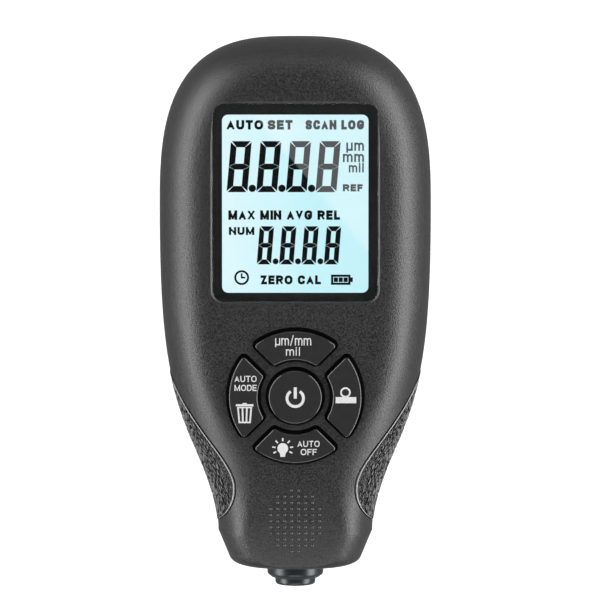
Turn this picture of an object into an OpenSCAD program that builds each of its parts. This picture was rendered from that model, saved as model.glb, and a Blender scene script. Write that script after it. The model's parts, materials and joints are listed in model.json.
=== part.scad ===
// Hand-held coating thickness gauge, lying on its back with the display up.
// X runs across the face, +Y points to the top of the head, +Z points out of the display.
// The plan outline is drawn once and lofted to a flat face over rolled shoulders, front and back.

/* [Outline] */
// Greatest width of the head
head_w = 53; // [48:0.5:60]
// Length from the top edge to the widest line
head_len = 33.65; // [30:0.05:40]
// Squareness of the head's curve (2 is an ellipse)
head_power = 2.9; // [2.4:0.1:3.4]
// Width where the side slope turns towards the foot
waist_w = 39.8; // [37:0.2:42]
// Distance from the widest line down to that turn
waist_drop = 46.3; // [43:0.1:49]
// Lean of the side at that turn, across over along
waist_lean = 0.44; // [0.36:0.01:0.5]
// Width of the foot
foot_w = 30.2; // [29:0.2:33]
// Distance from the widest line down to the straight part of the foot
foot_drop = 63.1; // [61:0.1:66]
// Length of the bevel under the foot
bevel_len = 5.3; // [4.6:0.1:7]
// Width left at the end of the bevel
heel_w = 25.8; // [24:0.2:28]
// Depth of the bowed end below the bevel
bow_len = 1.7; // [1.5:0.1:2.6]

/* [Thickness] */
// Height of the display face above the back
body_t = 26; // [25.6:0.1:29]
// Height of the parting plane above the back
part_z = 13; // [12.4:0.1:13.4]
// Fall of the face towards the probe end
face_fall = 2.6; // [1:0.1:3.2]
// Rise of the back towards the probe end
back_rise = 4; // [2:0.1:4.6]
// Width of the rolled shoulder round the head, front
head_shoulder = 10; // [8:0.1:10.4]
// Width of the rolled shoulder round the head, back
back_shoulder = 9; // [7:0.1:10]
// Width of the shoulder at the waist
waist_shoulder = 10; // [8:0.1:10.4]
// Width of the shoulder at the foot
foot_shoulder = 6.4; // [5.4:0.1:6.8]
// Distance that the ceiling's flat at the waist reaches out past the face's flat
ceiling_reach = 1.6; // [1.2:0.1:2.4]
// Width of the rounded edge at the probe end
end_edge = 1.2; // [0.8:0.1:1.8]
// Squareness of the shoulder's section (2 is an ellipse)
shoulder_power = 2.2; // [2:0.1:2.6]
// Side wall of the shells
wall = 2; // [1.6:0.1:2.4]
// Wall behind the display face
face_wall = 2.6; // [2.3:0.1:2.8]
// Wall of the back
back_wall = 2; // [1.8:0.1:2.2]
// Gap along the parting line
part_gap = 0.1; // [0.05:0.01:0.2]

/* [Display] */
// Height of the display's centre above the widest line
display_rise = 2.2; // [1:0.1:3]
// Width of the window
window_w = 32; // [30:0.1:33]
// Length of the window
window_len = 38.4; // [36:0.1:39.4]
// Corner radius of the window
window_r = 2.2; // [1:0.1:3]
// Thickness of the window
window_t = 1.2; // [0.8:0.05:1.3]
// Depth of the window below the face
window_sink = 0.6; // [0.3:0.05:0.7]
// Width of the lit area
view_w = 28.4; // [26:0.1:29]
// Length of the lit area
view_len = 34.7; // [32:0.1:35.4]
// Corner radius of the lit area
view_r = 1.2; // [0.6:0.1:2]
// Share of the room above the board that the display glass fills
glass_share = 0.5; // [0.4:0.05:0.6]
// Depth of the display glass below the inside of the face
glass_drop = 1.4; // [1.2:0.05:1.8]
// Margin of the display glass round the lit area
glass_margin = 2; // [1.8:0.1:2.2]
// Wall of the display holder
holder_wall = 1; // [0.8:0.1:1.2]
// Width of the rubber contact strip
strip_w = 2.2; // [1.6:0.1:2.4]

/* [Keys] */
// Distance from the widest line down to the centre of the keys
key_drop = 35.7; // [35:0.1:37]
// Radius of the round well
round_well_r = 5.6; // [5:0.05:5.7]
// Inner radius of the ring of wells
ring_in_r = 6.9; // [6.8:0.05:7.4]
// Outer radius of the ring of wells
ring_out_r = 13.3; // [12.6:0.1:13.6]
// Width of the ribs between the wells
rib_w = 2; // [1.8:0.05:2.4]
// Corner radius of the wells in the ring
well_corner = 1; // [0.8:0.05:1.3]
// Gap between a key and its well
key_gap = 0.4; // [0.3:0.05:0.5]
// Height of the keys above the face
key_proud = 0.8; // [0.7:0.05:1.2]
// Travel of a key
key_travel = 0.5; // [0.3:0.05:0.55]
// Bevel round the top of a key
key_bevel = 0.3; // [0.15:0.05:0.4]
// Lap of a key's flange under the face
flange_lap = 0.45; // [0.3:0.05:0.5]
// Thickness of a key's flange
flange_t = 0.8; // [0.6:0.05:0.9]
// Radius of the post under a key
post_r = 2; // [1.6:0.1:2.4]
// Side of a switch housing
switch_w = 6; // [5:0.1:6.2]
// Share of the room under the keys that a switch housing fills
switch_share = 0.74; // [0.65:0.01:0.78]
// Radius of a switch plunger
plunger_r = 1.7; // [1.4:0.05:1.9]
// Height of a plunger above its housing
plunger_out = 0.7; // [0.65:0.05:0.9]

/* [Grips] */
// Thickness of the rubber grips
grip_t = 1.5; // [1.2:0.05:1.6]
// Distance from the widest line down to the upper point of a grip
grip_start = 24.3; // [22:0.1:27]
// Distance from the widest line down to the broadest part of a grip
grip_broad = 53.8; // [52:0.1:56]
// Distance from the widest line down to the lower point of a grip
grip_end = 61.4; // [60:0.1:62.6]
// Reach of a grip onto the face, in from half the foot's width
grip_reach = 3.5; // [2.5:0.1:4.2]
// Seating clearance round a grip
grip_clear = 0.1; // [0.06:0.01:0.2]

/* [Touch dots] */
// Distance from the widest line down to the centre of the dots
dots_drop = 60.1; // [59:0.1:61]
// Spacing of the dots across
dot_pitch_x = 1.36; // [1.2:0.01:1.5]
// Spacing of the dots along
dot_pitch_y = 1.22; // [1.1:0.01:1.3]
// Columns of dots
dot_columns = 8; // [6:1:9]
// Rows of dots
dot_rows = 11; // [7:1:11]
// Radius of a dot
dot_r = 0.3; // [0.2:0.02:0.4]
// Height of a dot
dot_h = 0.25; // [0.15:0.05:0.4]
// Share by which the dots on the oval's rim are drawn in
dot_draw = 0.88; // [0.8:0.01:1]
// Reach, squared, from which a dot counts as on the rim
dot_rim = 0.95; // [0.9:0.01:1]

/* [Board] */
// Thickness of the circuit board
board_t = 1.2; // [1:0.1:1.3]
// Width of the board
board_w = 34.8; // [34:0.1:35]
// Width of the board at its lower end
board_low_w = 22; // [18:0.5:23]
// Radius of a board screw
board_screw_r = 0.9; // [0.7:0.05:1]
// Length of a board screw above the board
board_screw_len = 5; // [4:0.1:5.4]
// Radius of a board screw's head
board_head_r = 1.6; // [1.4:0.05:1.8]
// Height of a board screw's head
board_head_h = 1; // [0.8:0.05:1.1]
// Radius of a board post
board_post_r = 1.9; // [1.6:0.1:2]
// Side of the controller chip
chip_w = 9; // [7:0.5:10]
// Height of the controller chip
chip_h = 1.2; // [0.9:0.1:1.4]
// Gap between the chip and the battery bay
chip_gap = 0.65; // [0.4:0.05:0.8]

/* [Battery bay] */
// Diameter of a cell
cell_d = 10.5; // [10.3:0.05:10.6]
// Length of a cell
cell_len = 44.5; // [44:0.1:45]
// Radius of a cell's button
button_r = 1.9; // [1.6:0.1:2.2]
// Height of a cell's button
button_h = 0.8; // [0.6:0.1:1]
// Gap between the cells and round them
cell_clear = 0.3; // [0.2:0.05:0.35]
// Distance from the widest line down to the bay's centre
bay_drop = 8; // [7.4:0.1:8.6]
// Wall round the bay
bay_wall = 1.2; // [1:0.1:1.3]
// Thickness of the contact plates
plate_t = 0.4; // [0.3:0.05:0.5]
// Side of a contact plate
plate_w = 8; // [7:0.2:9]
// Length of a compressed contact spring
cell_spring_len = 4.2; // [3.6:0.1:4.6]
// Radius of a contact spring at its base
cell_spring_r = 3.2; // [2.8:0.1:3.6]
// Share of that radius left at the spring's free end
cell_spring_taper = 0.6; // [0.5:0.05:1]
// Turns of a contact spring
cell_spring_turns = 4; // [3:1:4]
// Radius of the springs' wire
wire_r = 0.3; // [0.25:0.01:0.35]
// Thickness of the battery door
door_t = 1.7; // [1.5:0.05:1.8]
// Depth of the door below the back
door_sink = 0.15; // [0.1:0.01:0.2]
// Lap of the door past the bay
door_lap = 2; // [1.6:0.1:2.2]
// Gap round the door
door_gap = 0.2; // [0.15:0.01:0.25]
// Width of a door hook
hook_w = 5; // [4:0.1:6]
// Reach of a door hook under the back
hook_reach = 1.4; // [1.2:0.05:1.5]
// Distance between the door hooks
hook_space = 13; // [11:0.2:15]
// Width of a thumb groove in the door
groove_w = 0.75; // [0.5:0.05:0.9]
// Depth of a thumb groove
groove_depth = 0.5; // [0.3:0.05:0.6]
// Number of thumb grooves
groove_count = 5; // [3:1:6]

/* [Probe] */
// Radius of the probe's collar
collar_r = 5.5; // [5:0.1:5.7]
// Length of the collar outside the body
collar_out = 2.6; // [2.2:0.1:3]
// Rounding of the collar's rim
collar_round = 1.35; // [0.9:0.05:1.4]
// Whole length of the collar
collar_len = 11.2; // [10.8:0.1:11.6]
// Radius of the collar's flange
collar_flange_r = 6.4; // [6.2:0.1:6.6]
// Thickness of the collar's flange
collar_flange_t = 1.4; // [1:0.1:1.6]
// Radius of the sliding sleeve
sleeve_r = 3.95; // [3.7:0.05:4]
// Length of the sleeve outside the collar
sleeve_out = 1.4; // [1.1:0.05:1.6]
// Rounding of the sleeve's rim
sleeve_round = 0.8; // [0.5:0.05:0.9]
// Thickness of the sleeve's end
sleeve_end_t = 1.1; // [0.9:0.1:1.3]
// Reach of the sleeve's flange past its side
sleeve_lip = 0.55; // [0.45:0.05:0.6]
// Thickness of the sleeve's flange
sleeve_lip_t = 1.2; // [1:0.1:1.4]
// Travel of the probe
probe_travel = 1; // [0.6:0.05:1.05]
// Radius of the probe's core
core_r = 1.3; // [1.1:0.05:1.4]
// Length of the probe's core
core_len = 7.4; // [7:0.1:7.8]
// Thickness of the coil's winding
coil_t = 1.6; // [1.3:0.05:1.65]
// Running clearance of the sleeve in the collar
run_clear = 0.06; // [0.04:0.01:0.1]
// Length of the collar's close bore
nose_len = 3; // [2.8:0.1:3.2]
// Turns of the probe's spring
probe_spring_turns = 5; // [4:1:6]
// Thickness of the plug that closes the collar
plug_t = 1.2; // [1:0.1:1.4]

/* [Screws] */
// Radius of a case screw
screw_r = 1; // [0.8:0.05:1.1]
// Radius of a case screw's head
screw_head_r = 1.9; // [1.7:0.05:2]
// Height of a case screw's head
screw_head_h = 1.5; // [1.2:0.05:1.6]
// Depth of a screw head's seat above the back
screw_seat = 5.4; // [5:0.1:6]
// Length of a case screw under its head
screw_len = 12; // [11:0.1:12.6]
// Radius of the screw bosses
boss_r = 2.6; // [2.4:0.05:2.7]
// Half the distance between the upper screws
upper_screw_x = 20.3; // [20.2:0.05:20.6]
// Height of the upper screws above the widest line
upper_screw_rise = 14; // [12:0.1:15]
// Half the distance between the lower screws
lower_screw_x = 8.5; // [8.4:0.05:8.8]
// Distance from the widest line down to the lower screws
lower_screw_drop = 59.4; // [59:0.1:59.8]

/* [Hidden] */
$fn = 64;
dot_facets = 24;
// Steps along each stretch of the outline and up the shoulder
head_steps = 16;
side_steps = 12;
foot_steps = 6;
bow_steps = 7;
roll_steps = 8;
inner_roll_steps = 5;
arc_steps = 7;
corner_steps = 4;
// Steps of the side that lie above the grips
skip_steps = 3;
// Handle lengths of the outline's curves
hip_pull = 24;
waist_pull = 12;
calf_pull = 8;
foot_pull = 4;
heel_pull = 1.6;
bow_spread = 0.72;
// Inward lean and handle shares of the grips' edge curves
grip_lean = 1.8;
grip_pull = 0.51;
broad_pull = 0.23;
// Radius of the thumb scoop at the battery door
thumb_r = 6;
// Flat left between the keys and the start of the face's fall
flat_margin = 1;
// Reach of a grip's lower point past the foot's side
grip_overrun = 0.6;
// Small lap that lets a cut pass cleanly through a face
cut = 1;
// Gap between pieces that seat on each other
seat = 0.05;
// Running gap of the key flanges and other loose fits
loose = 0.1;

body_len = head_len + foot_drop + bevel_len + bow_len;
total_len = body_len + collar_out + sleeve_out;
y_top = total_len / 2;
y_wide = y_top - head_len;
y_waist = y_wide - waist_drop;
y_foot = y_wide - foot_drop;
y_heel = y_foot - bevel_len;
y_base = y_heel - bow_len;
y_keys = y_wide - key_drop;
y_view = y_wide + display_rise;
y_fall = y_keys - ring_out_r - flat_margin;
heel_lean = (foot_w - heel_w) / 2 / bevel_len;
NO_INSET = [0, 0, 0, 0, 0];
FRONT_FLAT = [head_shoulder, waist_shoulder, foot_shoulder, foot_shoulder, end_edge];
BACK_FLAT = [back_shoulder, waist_shoulder, foot_shoulder, foot_shoulder, end_edge];
CAVITY = [wall, wall + grip_t, wall + grip_t, wall, wall];
FRONT_CEILING = [head_shoulder, waist_shoulder - ceiling_reach, foot_shoulder, foot_shoulder, wall + end_edge];
BACK_FLOOR = [back_shoulder, waist_shoulder, foot_shoulder, foot_shoulder, wall + end_edge];

// Levels from the back up: the battery bay, then the board above it
z_door = door_sink + door_t;
z_cell = z_door + cell_clear + cell_d / 2;
z_bay = z_cell + cell_d / 2 + cell_clear;
z_board_under = z_bay + bay_wall + chip_gap + chip_h;
z_board = z_board_under + board_t;

// Levels from the face down, with the room above the board shared out
z_ceiling = body_t - face_wall;
z_flange = z_ceiling - loose;
switch_h = (z_flange - flange_t - plunger_out - z_board) * switch_share;
z_post = z_board + switch_h + plunger_out;
z_window = body_t - window_sink;
z_ledge = z_window - window_t;
z_glass = z_ceiling - glass_drop;
glass_t = (z_glass - z_board) * glass_share;
glass_w = view_w + 2 * glass_margin;
glass_len = view_len + 2 * glass_margin;
key_r = (ring_in_r + ring_out_r) / 2;
KEY_TURNS = [0, 90, 180, 270];

// Battery bay
bay_w = 2 * cell_d + 3 * cell_clear;
bay_len = cell_len + plate_t + loose + cell_spring_len;
y_bay = y_wide - bay_drop;
y_bay_low = y_bay - bay_len / 2;
y_bay_high = y_bay + bay_len / 2;
cell_x = (cell_d + cell_clear) / 2;
door_w = bay_w + 2 * door_lap;
y_door_low = y_bay_low - door_lap;
y_door_high = y_bay_high + door_lap;
hook_t = door_t / 2;

// Probe stations, from the tip inwards
y_tip = y_base - collar_out - sleeve_out;
y_collar = y_base - collar_out;
y_step = y_collar + nose_len;
y_flange = y_base + wall + loose;
y_plug = y_collar + collar_len - plug_t;
bore_r = sleeve_r + run_clear;
lip_r = sleeve_r + sleeve_lip;
counter_r = lip_r + 2 * loose;
coil_r = core_r + run_clear + coil_t;
y_lip = y_step + seat;

UPPER_SCREWS = [[upper_screw_x, y_wide + upper_screw_rise], [-upper_screw_x, y_wide + upper_screw_rise]];
LOWER_SCREWS = [[lower_screw_x, y_wide - lower_screw_drop], [-lower_screw_x, y_wide - lower_screw_drop]];
CASE_SCREWS = concat(UPPER_SCREWS, LOWER_SCREWS);
post_x = board_w / 2 - board_post_r - seat;
y_board_top = y_view + glass_len / 2 + holder_wall;
y_low_post = y_keys - ring_out_r - flange_lap - board_post_r - 2 * loose;
y_high_post = y_view - glass_len / 2 - holder_wall - board_post_r - 2 * loose;
y_board_low = y_low_post - board_post_r;
BOARD_POSTS = [[post_x, y_high_post], [-post_x, y_high_post], [0, y_low_post]];

// Point on a cubic curve with two handles
function curve(a, b, c, d, t) =
    a * pow(1 - t, 3) + 3 * b * t * pow(1 - t, 2) + 3 * c * t * t * (1 - t) + d * pow(t, 3);

function unit(v) = min(1, max(0, v));
function flip(f) = [for (k = [len(f) - 1:-1:0]) f[k]];

// Right half of the plan outline, from the top edge round to the middle of the probe end.
// The insets move the head, waist, foot, bevel and probe end inwards.
function half_outline(i) =
    let (
        half_w = head_w / 2 - i[0],
        dome = head_len - i[0],
        hip = [half_w, y_wide],
        waist = [waist_w / 2 - i[1], y_waist],
        foot = [foot_w / 2 - i[2], y_foot],
        heel = [heel_w / 2 - i[3], y_heel + i[4]],
        base = [0, y_base + i[4]],
        lean = [waist_lean, 1]
    )
    concat(
        [for (k = [0:head_steps])
            let (q = 90 * k / head_steps)
            [half_w * pow(sin(q), 2 / head_power), y_wide + dome * pow(cos(q), 2 / head_power)]],
        [for (k = [1:side_steps])
            curve(hip, hip - [0, hip_pull], waist + waist_pull * lean, waist, k / side_steps)],
        [for (k = [1:foot_steps])
            curve(waist, waist - calf_pull * lean, foot + [0, foot_pull], foot, k / foot_steps)],
        [heel],
        [for (k = [1:bow_steps])
            curve(heel, heel - heel_pull * [heel_lean, 1], [heel.x * bow_spread, base.y], base,
                k / bow_steps)]
    );

function mirrored(half) =
    concat(half, [for (k = [len(half) - 2:-1:1]) [-half[k].x, half[k].y]]);

// Height of the face and of the back at a station along the body
function down(y) = pow(unit((y_fall - y) / (y_fall - y_base)), 2);
function face_z(y) = body_t - face_fall * down(y);
function back_z(y) = back_rise * down(y);

// One ring of a rolled shoulder: an elliptic step from the outline in to the edge of the flat.
function roll_ring(outer, flat, start_z, end_inset, front, q) =
    let (c = pow(cos(q), 2 / shoulder_power), s = pow(sin(q), 2 / shoulder_power))
    [for (k = [0:len(outer) - 1])
        let (
            p = flat[k] + (outer[k] - flat[k]) * c,
            end_z = front ? face_z(p.y) - end_inset : back_z(p.y) + end_inset
        )
        [p.x, p.y, start_z + (end_z - start_z) * s]];

function roll_rings(i, flat, start_z, end_inset, front, steps) =
    let (o = mirrored(half_outline(i)), f = mirrored(half_outline(flat)))
    [for (k = [0:steps]) roll_ring(o, f, start_z, end_inset, front, 90 * k / steps)];

// Cap across a ring that is its own mirror image in X
function mirror_cap(m) =
    let (n = m / 2)
    concat(
        [[0, 1, m - 1]],
        [for (k = [1:n - 2]) each [[k, k + 1, m - k - 1], [k, m - k - 1, m - k]]],
        [[n - 1, n, n + 1]]
    );

// Closed solid through a pile of rings, listed from the lowest to the highest
module pile(rings, cap) {
    m = len(rings[0]);
    top = (len(rings) - 1) * m;
    sides = [for (r = [0:len(rings) - 2], k = [0:m - 1])
        let (a = r * m + k, b = r * m + (k + 1) % m)
        each [[a, b, b + m], [a, b + m, a + m]]];
    polyhedron(
        points = [for (r = rings) each r],
        faces = concat(sides, [for (f = cap) [for (v = f) v + top]], [for (f = cap) flip(f)]),
        convexity = 8
    );
}

module front_loft(i, start_z, face_inset, flat, steps) {
    rings = roll_rings(i, flat, start_z, face_inset, true, steps);
    pile(rings, mirror_cap(len(rings[0])));
}

module back_loft(i, start_z, back_inset, flat, steps) {
    rings = flip(roll_rings(i, flat, start_z, back_inset, false, steps));
    pile(rings, mirror_cap(len(rings[0])));
}

// One side of the waist as a solid up to the middle of the body, drawn in by an inset all round.
// Its rings are cross-sections, from the back's flat round the side to the face.
module side_loft(side, inset, steps) {
    i = [inset, inset, inset, inset, inset];
    outer = waist_stretch(half_outline(i));
    below = [for (k = [0:steps])
        roll_ring(outer, waist_stretch(half_outline(BACK_FLAT + i)), part_z, inset, false, 90 * k / steps)];
    above = [for (k = [0:steps])
        roll_ring(outer, waist_stretch(half_outline(FRONT_FLAT + i)), part_z, inset, true, 90 * k / steps)];
    loops = [for (k = [0:len(outer) - 1])
        let (
            arc = concat([for (r = [steps:-1:1]) below[r][k]], [for (r = above) r[k]]),
            low = below[steps][k],
            high = above[steps][k]
        )
        [for (p = concat(arc, [[0, high.y, high.z], [0, low.y, low.z]])) [side * p.x, p.y, p.z]]];
    pile(side > 0 ? flip(loops) : loops, fan_cap(len(loops[0])));
}

// Part of a half outline that lies beside the grips
function waist_stretch(half) =
    [for (k = [head_steps + skip_steps:head_steps + side_steps + foot_steps + 1]) half[k]];

function fan_cap(m) = [for (k = [1:m - 2]) [0, k, k + 1]];

module rounded_plate(w, len, r, t) {
    linear_extrude(t) {
        square([w - 2 * r, len], center = true);
        square([w, len - 2 * r], center = true);
        for (sx = [-1, 1], sy = [-1, 1]) {
            translate([sx * (w / 2 - r), sy * (len / 2 - r)]) circle(r);
        }
    }
}

// Block given by its extents along X, Y and Z
module block(x, y, z) {
    translate([x[0], y[0], z[0]]) cube([x[1] - x[0], y[1] - y[0], z[1] - z[0]]);
}

// Cylinder along Y between two stations, on the probe's axis
module probe_rod(r, y0, y1) {
    translate([0, y1, part_z]) rotate([90, 0, 0]) cylinder(r = r, h = y1 - y0);
}

// Solid of revolution about the probe's axis, from a profile of radius against distance from the tip
module probe_turned(profile) {
    translate([0, y_tip, part_z]) rotate([-90, 0, 0]) rotate_extrude() polygon(profile);
}

// Side region that a grip fills: outside one curve that runs in to the grip's broadest part and out again
function grip_outline(side, clear) =
    let (
        broad = [foot_w / 2 - grip_reach - clear, y_wide - grip_broad],
        start = [head_w / 2 - loose, y_wide - grip_start + clear],
        end = [foot_w / 2 + grip_overrun, y_wide - grip_end - clear],
        drop = start.y - broad.y,
        rise = broad.y - end.y,
        out = head_w,
        edge = concat(
            [for (k = [0:side_steps])
                curve(start, start - [grip_lean, grip_pull * drop], broad + [0, broad_pull * drop], broad,
                    k / side_steps)],
            [for (k = [1:foot_steps])
                curve(broad, broad - [0, grip_pull * rise], end + [-grip_lean, broad_pull * rise], end,
                    k / foot_steps)]
        )
    )
    [for (p = concat(edge, [[out, end.y], [out, start.y]])) [side * p.x, p.y]];

module grip_prism(side, clear) {
    translate([0, 0, -cut]) linear_extrude(body_t + 2 * cut) polygon(grip_outline(side, clear));
}

module grip_recess(side) {
    difference() {
        grip_prism(side, grip_clear);
        side_loft(side, grip_t + grip_clear, inner_roll_steps);
    }
}

module grip(side) {
    color("#2b2b2d") difference() {
        intersection() {
            side_loft(side, 0, roll_steps);
            grip_prism(side, 0);
        }
        side_loft(side, grip_t, inner_roll_steps);
    }
}

// Right half of a ring-segment outline about +Y, with rounded corners, bounded by ribs on the diagonals
function segment_half(in_r, out_r, half_rib, corner) =
    let (
        a_out = 45 - asin((half_rib + corner) / (out_r - corner)),
        a_in = 45 - asin((half_rib + corner) / (in_r + corner)),
        c_out = polar(out_r - corner, a_out),
        c_in = polar(in_r + corner, a_in)
    )
    concat(
        [for (k = [0:arc_steps]) polar(out_r, a_out * k / arc_steps)],
        [for (k = [1:corner_steps]) c_out + polar(corner, a_out + (135 - a_out) * k / corner_steps)],
        [for (k = [0:corner_steps - 1]) c_in + polar(corner, 135 + (45 + a_in) * k / corner_steps)],
        [for (k = [0:arc_steps]) polar(in_r, a_in * (1 - k / arc_steps))]
    );

function polar(r, a) = [r * sin(a), r * cos(a)];

// Segment outline of a well, drawn in all round by an inset
function segment(inset) =
    mirrored(segment_half(
        ring_in_r + inset, ring_out_r - inset, rib_w / 2 + inset, max(well_corner - inset, key_bevel)));

function at_height(outline, z) = [for (p = outline) [p.x, p.y, z]];

// Ladder of triangles between the outer and the inner arc of a segment
function ladder_cap(m) =
    let (h = m / 2, n = (h + 1) / 2)
    concat(
        [for (k = [0:n - 2]) each [[k, k + 1, h - k - 1], [k, h - k - 1, h - k]]],
        [for (k = [0:n - 2])
            let (a = (m - k) % m, b = m - k - 1, c = h + k + 1, d = h + k)
            each [[a, c, b], [a, d, c]]]
    );

module at_keys() {
    translate([0, y_keys, 0]) children();
}

module segment_well() {
    translate([0, 0, z_ceiling - cut]) linear_extrude(face_wall + 2 * cut) polygon(segment(0));
}

// Key cap of one ring segment, with its flange under the face and its post down to the switch
module segment_key(turn) {
    top = body_t + key_proud;
    outline = segment(key_gap);
    color("#1d1d1f") at_keys() rotate(turn) union() {
        pile(
            [at_height(outline, z_flange - flange_t),
             at_height(outline, top - key_bevel),
             at_height(segment(key_gap + key_bevel), top)],
            ladder_cap(len(outline))
        );
        translate([0, 0, z_flange - flange_t]) linear_extrude(flange_t) polygon(segment(-flange_lap));
        translate([0, key_r, z_post]) cylinder(r = post_r, h = z_flange - flange_t / 2 - z_post);
    }
}

module switch_housing(turn, r) {
    color("#3c3f44") at_keys() rotate(turn) translate([0, r, z_board]) difference() {
        translate([-switch_w / 2, -switch_w / 2, 0]) cube([switch_w, switch_w, switch_h]);
        translate([0, 0, loose]) cylinder(r = plunger_r + loose, h = switch_h);
    }
}

module switch_plunger(turn, r) {
    low = z_board + 2 * loose + key_travel;
    color("#8a8d92") at_keys() rotate(turn) translate([0, r, low])
        cylinder(r = plunger_r, h = z_post - low);
}

// Centres of the dots: a grid kept inside an oval, with the dots on its rim drawn in
function dot_places() =
    [for (c = [0:dot_columns - 1], r = [0:dot_rows - 1])
        let (
            u = c - (dot_columns - 1) / 2,
            v = r - (dot_rows - 1) / 2,
            rim = pow(2 * u / dot_columns, 2) + pow(2 * v / dot_rows, 2),
            draw = rim > dot_rim ? dot_draw : 1
        )
        if (rim < 1) [draw * u * dot_pitch_x, y_wide - dots_drop + draw * v * dot_pitch_y]];

module touch_dots() {
    for (p = dot_places()) {
        translate([p.x, p.y, face_z(p.y) - dot_h]) cylinder(r = dot_r, h = 2 * dot_h, $fn = dot_facets);
    }
}

// Inner webs of the front shell: screw bosses, board posts and the probe's cradle
module front_webs() {
    for (p = CASE_SCREWS) {
        translate([p.x, p.y, part_z - cut]) cylinder(r = boss_r, h = body_t);
    }
    for (p = BOARD_POSTS) {
        translate([p.x, p.y, z_board]) cylinder(r = board_post_r, h = body_t);
    }
    probe_cradle();
}

// Cross wall behind the collar's flange
module probe_cradle() {
    y0 = y_flange + collar_flange_t + loose;
    block([-head_w / 2, head_w / 2], [y0, y0 + wall / 2], [0, body_t]);
}

// Room for the collar and its flange, shared by the two shells
module probe_seat() {
    probe_rod(collar_r + loose, y_collar, y_collar + collar_len + cut);
    probe_rod(collar_flange_r + loose, y_flange - seat, y_flange + collar_flange_t + loose);
}

module front_shell() {
    start = part_z + part_gap / 2;
    color("#37383a") difference() {
        union() {
            difference() {
                front_loft(NO_INSET, start, 0, FRONT_FLAT, roll_steps);
                difference() {
                    front_loft(CAVITY, part_z - cut, face_wall, FRONT_CEILING, inner_roll_steps);
                    front_webs();
                }
            }
            touch_dots();
        }
        for (side = [-1, 1]) {
            grip_recess(side);
        }
        translate([0, y_view, z_ledge - seat])
            rounded_plate(window_w + 2 * loose, window_len + 2 * loose, window_r + loose, body_t);
        translate([0, y_view, part_z])
            rounded_plate(view_w + 2 * loose, view_len + 2 * loose, view_r, body_t);
        at_keys() {
            translate([0, 0, z_ceiling - cut]) cylinder(r = round_well_r, h = face_wall + 2 * cut);
            for (turn = KEY_TURNS) {
                rotate(turn) segment_well();
            }
        }
        for (p = CASE_SCREWS) {
            translate([p.x, p.y, part_z - cut]) cylinder(r = screw_r + seat / 2, h = screw_bore_h());
        }
        for (p = BOARD_POSTS) {
            translate([p.x, p.y, z_board - cut])
                cylinder(r = board_screw_r + seat / 2, h = cut + board_screw_len);
        }
        probe_seat();
    }
}

// Depth of a screw's pilot bore above the start of the front bosses
function screw_bore_h() = screw_seat + screw_len + 2 * loose - part_z + cut;

module rear_webs() {
    for (p = CASE_SCREWS) {
        translate([p.x, p.y, -cut]) cylinder(r = boss_r, h = body_t);
    }
    bay_box(bay_wall, part_z + cut);
    probe_cradle();
}

// Box round the battery bay, from below the back up to a height
module bay_box(grow, top) {
    block([-bay_w / 2 - grow, bay_w / 2 + grow], [y_bay_low - grow, y_bay_high + grow], [-cut, top]);
}

module door_pocket() {
    block(
        [-door_w / 2 - door_gap, door_w / 2 + door_gap],
        [y_door_low - door_gap, y_door_high + door_gap],
        [-cut, z_door + seat]
    );
    for (sx = [-1, 1]) {
        block(
            [sx * hook_space / 2 - hook_w / 2 - door_gap, sx * hook_space / 2 + hook_w / 2 + door_gap],
            [y_door_high - cut, y_door_high + hook_reach + 2 * door_gap],
            [z_door - hook_t - loose, back_wall + cut]
        );
    }
    // Thumb scoop at the catch
    translate([0, y_door_low - door_gap, -thumb_r + door_t]) sphere(thumb_r);
}

module rear_shell() {
    end = part_z - part_gap / 2;
    color("#333436") difference() {
        union() {
            difference() {
                back_loft(NO_INSET, end, 0, BACK_FLAT, roll_steps);
                difference() {
                    back_loft(CAVITY, part_z + cut, back_wall, BACK_FLOOR, inner_roll_steps);
                    rear_webs();
                }
            }
            translate([0, 0, end - cut])
                block([-bay_w / 2 - bay_wall, bay_w / 2 + bay_wall],
                    [y_bay_low - bay_wall, y_bay_high + bay_wall],
                    [0, z_bay + bay_wall - end + cut]);
        }
        for (side = [-1, 1]) {
            grip_recess(side);
        }
        bay_box(0, z_bay);
        door_pocket();
        for (p = CASE_SCREWS) {
            translate([p.x, p.y, -cut]) cylinder(r = screw_r + loose, h = body_t);
            translate([p.x, p.y, -cut]) cylinder(r = screw_head_r + loose, h = screw_seat + cut);
        }
        probe_seat();
    }
}

// Hooked lid with a grooved thumb end
module battery_door() {
    color("#333436") difference() {
        union() {
            block([-door_w / 2, door_w / 2], [y_door_low, y_door_high], [door_sink, z_door]);
            for (sx = [-1, 1]) {
                block(
                    [sx * hook_space / 2 - hook_w / 2, sx * hook_space / 2 + hook_w / 2],
                    [y_door_high - cut, y_door_high + hook_reach],
                    [z_door - hook_t, z_door]
                );
            }
        }
        for (k = [1:groove_count]) {
            y0 = y_door_low + 2 * k * groove_w;
            block([-door_w / 4, door_w / 4], [y0, y0 + groove_w], [-cut, door_sink + groove_depth]);
        }
    }
}

module left_grip() {
    grip(-1);
}

module right_grip() {
    grip(1);
}

module display_window() {
    color("#202226") translate([0, y_view, z_ledge]) rounded_plate(window_w, window_len, window_r, window_t);
}

module display_glass() {
    color("#cfeef4") translate([0, y_view, z_glass - glass_t])
        linear_extrude(glass_t) square([glass_w, glass_len], center = true);
}

module display_backlight() {
    low = y_view - glass_len / 2 + strip_w + loose;
    color("#f2f6f6") block(
        [-glass_w / 2, glass_w / 2], [low, y_view + glass_len / 2], [z_board, z_glass - glass_t]);
}

module display_holder() {
    holder_h = z_glass - glass_t / 2 - z_board;
    color("#e4e4e0") translate([0, y_view, z_board]) linear_extrude(holder_h) difference() {
        square([glass_w + 2 * holder_wall, glass_len + 2 * holder_wall], center = true);
        square([glass_w + 2 * seat, glass_len + 2 * seat], center = true);
    }
}

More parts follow.
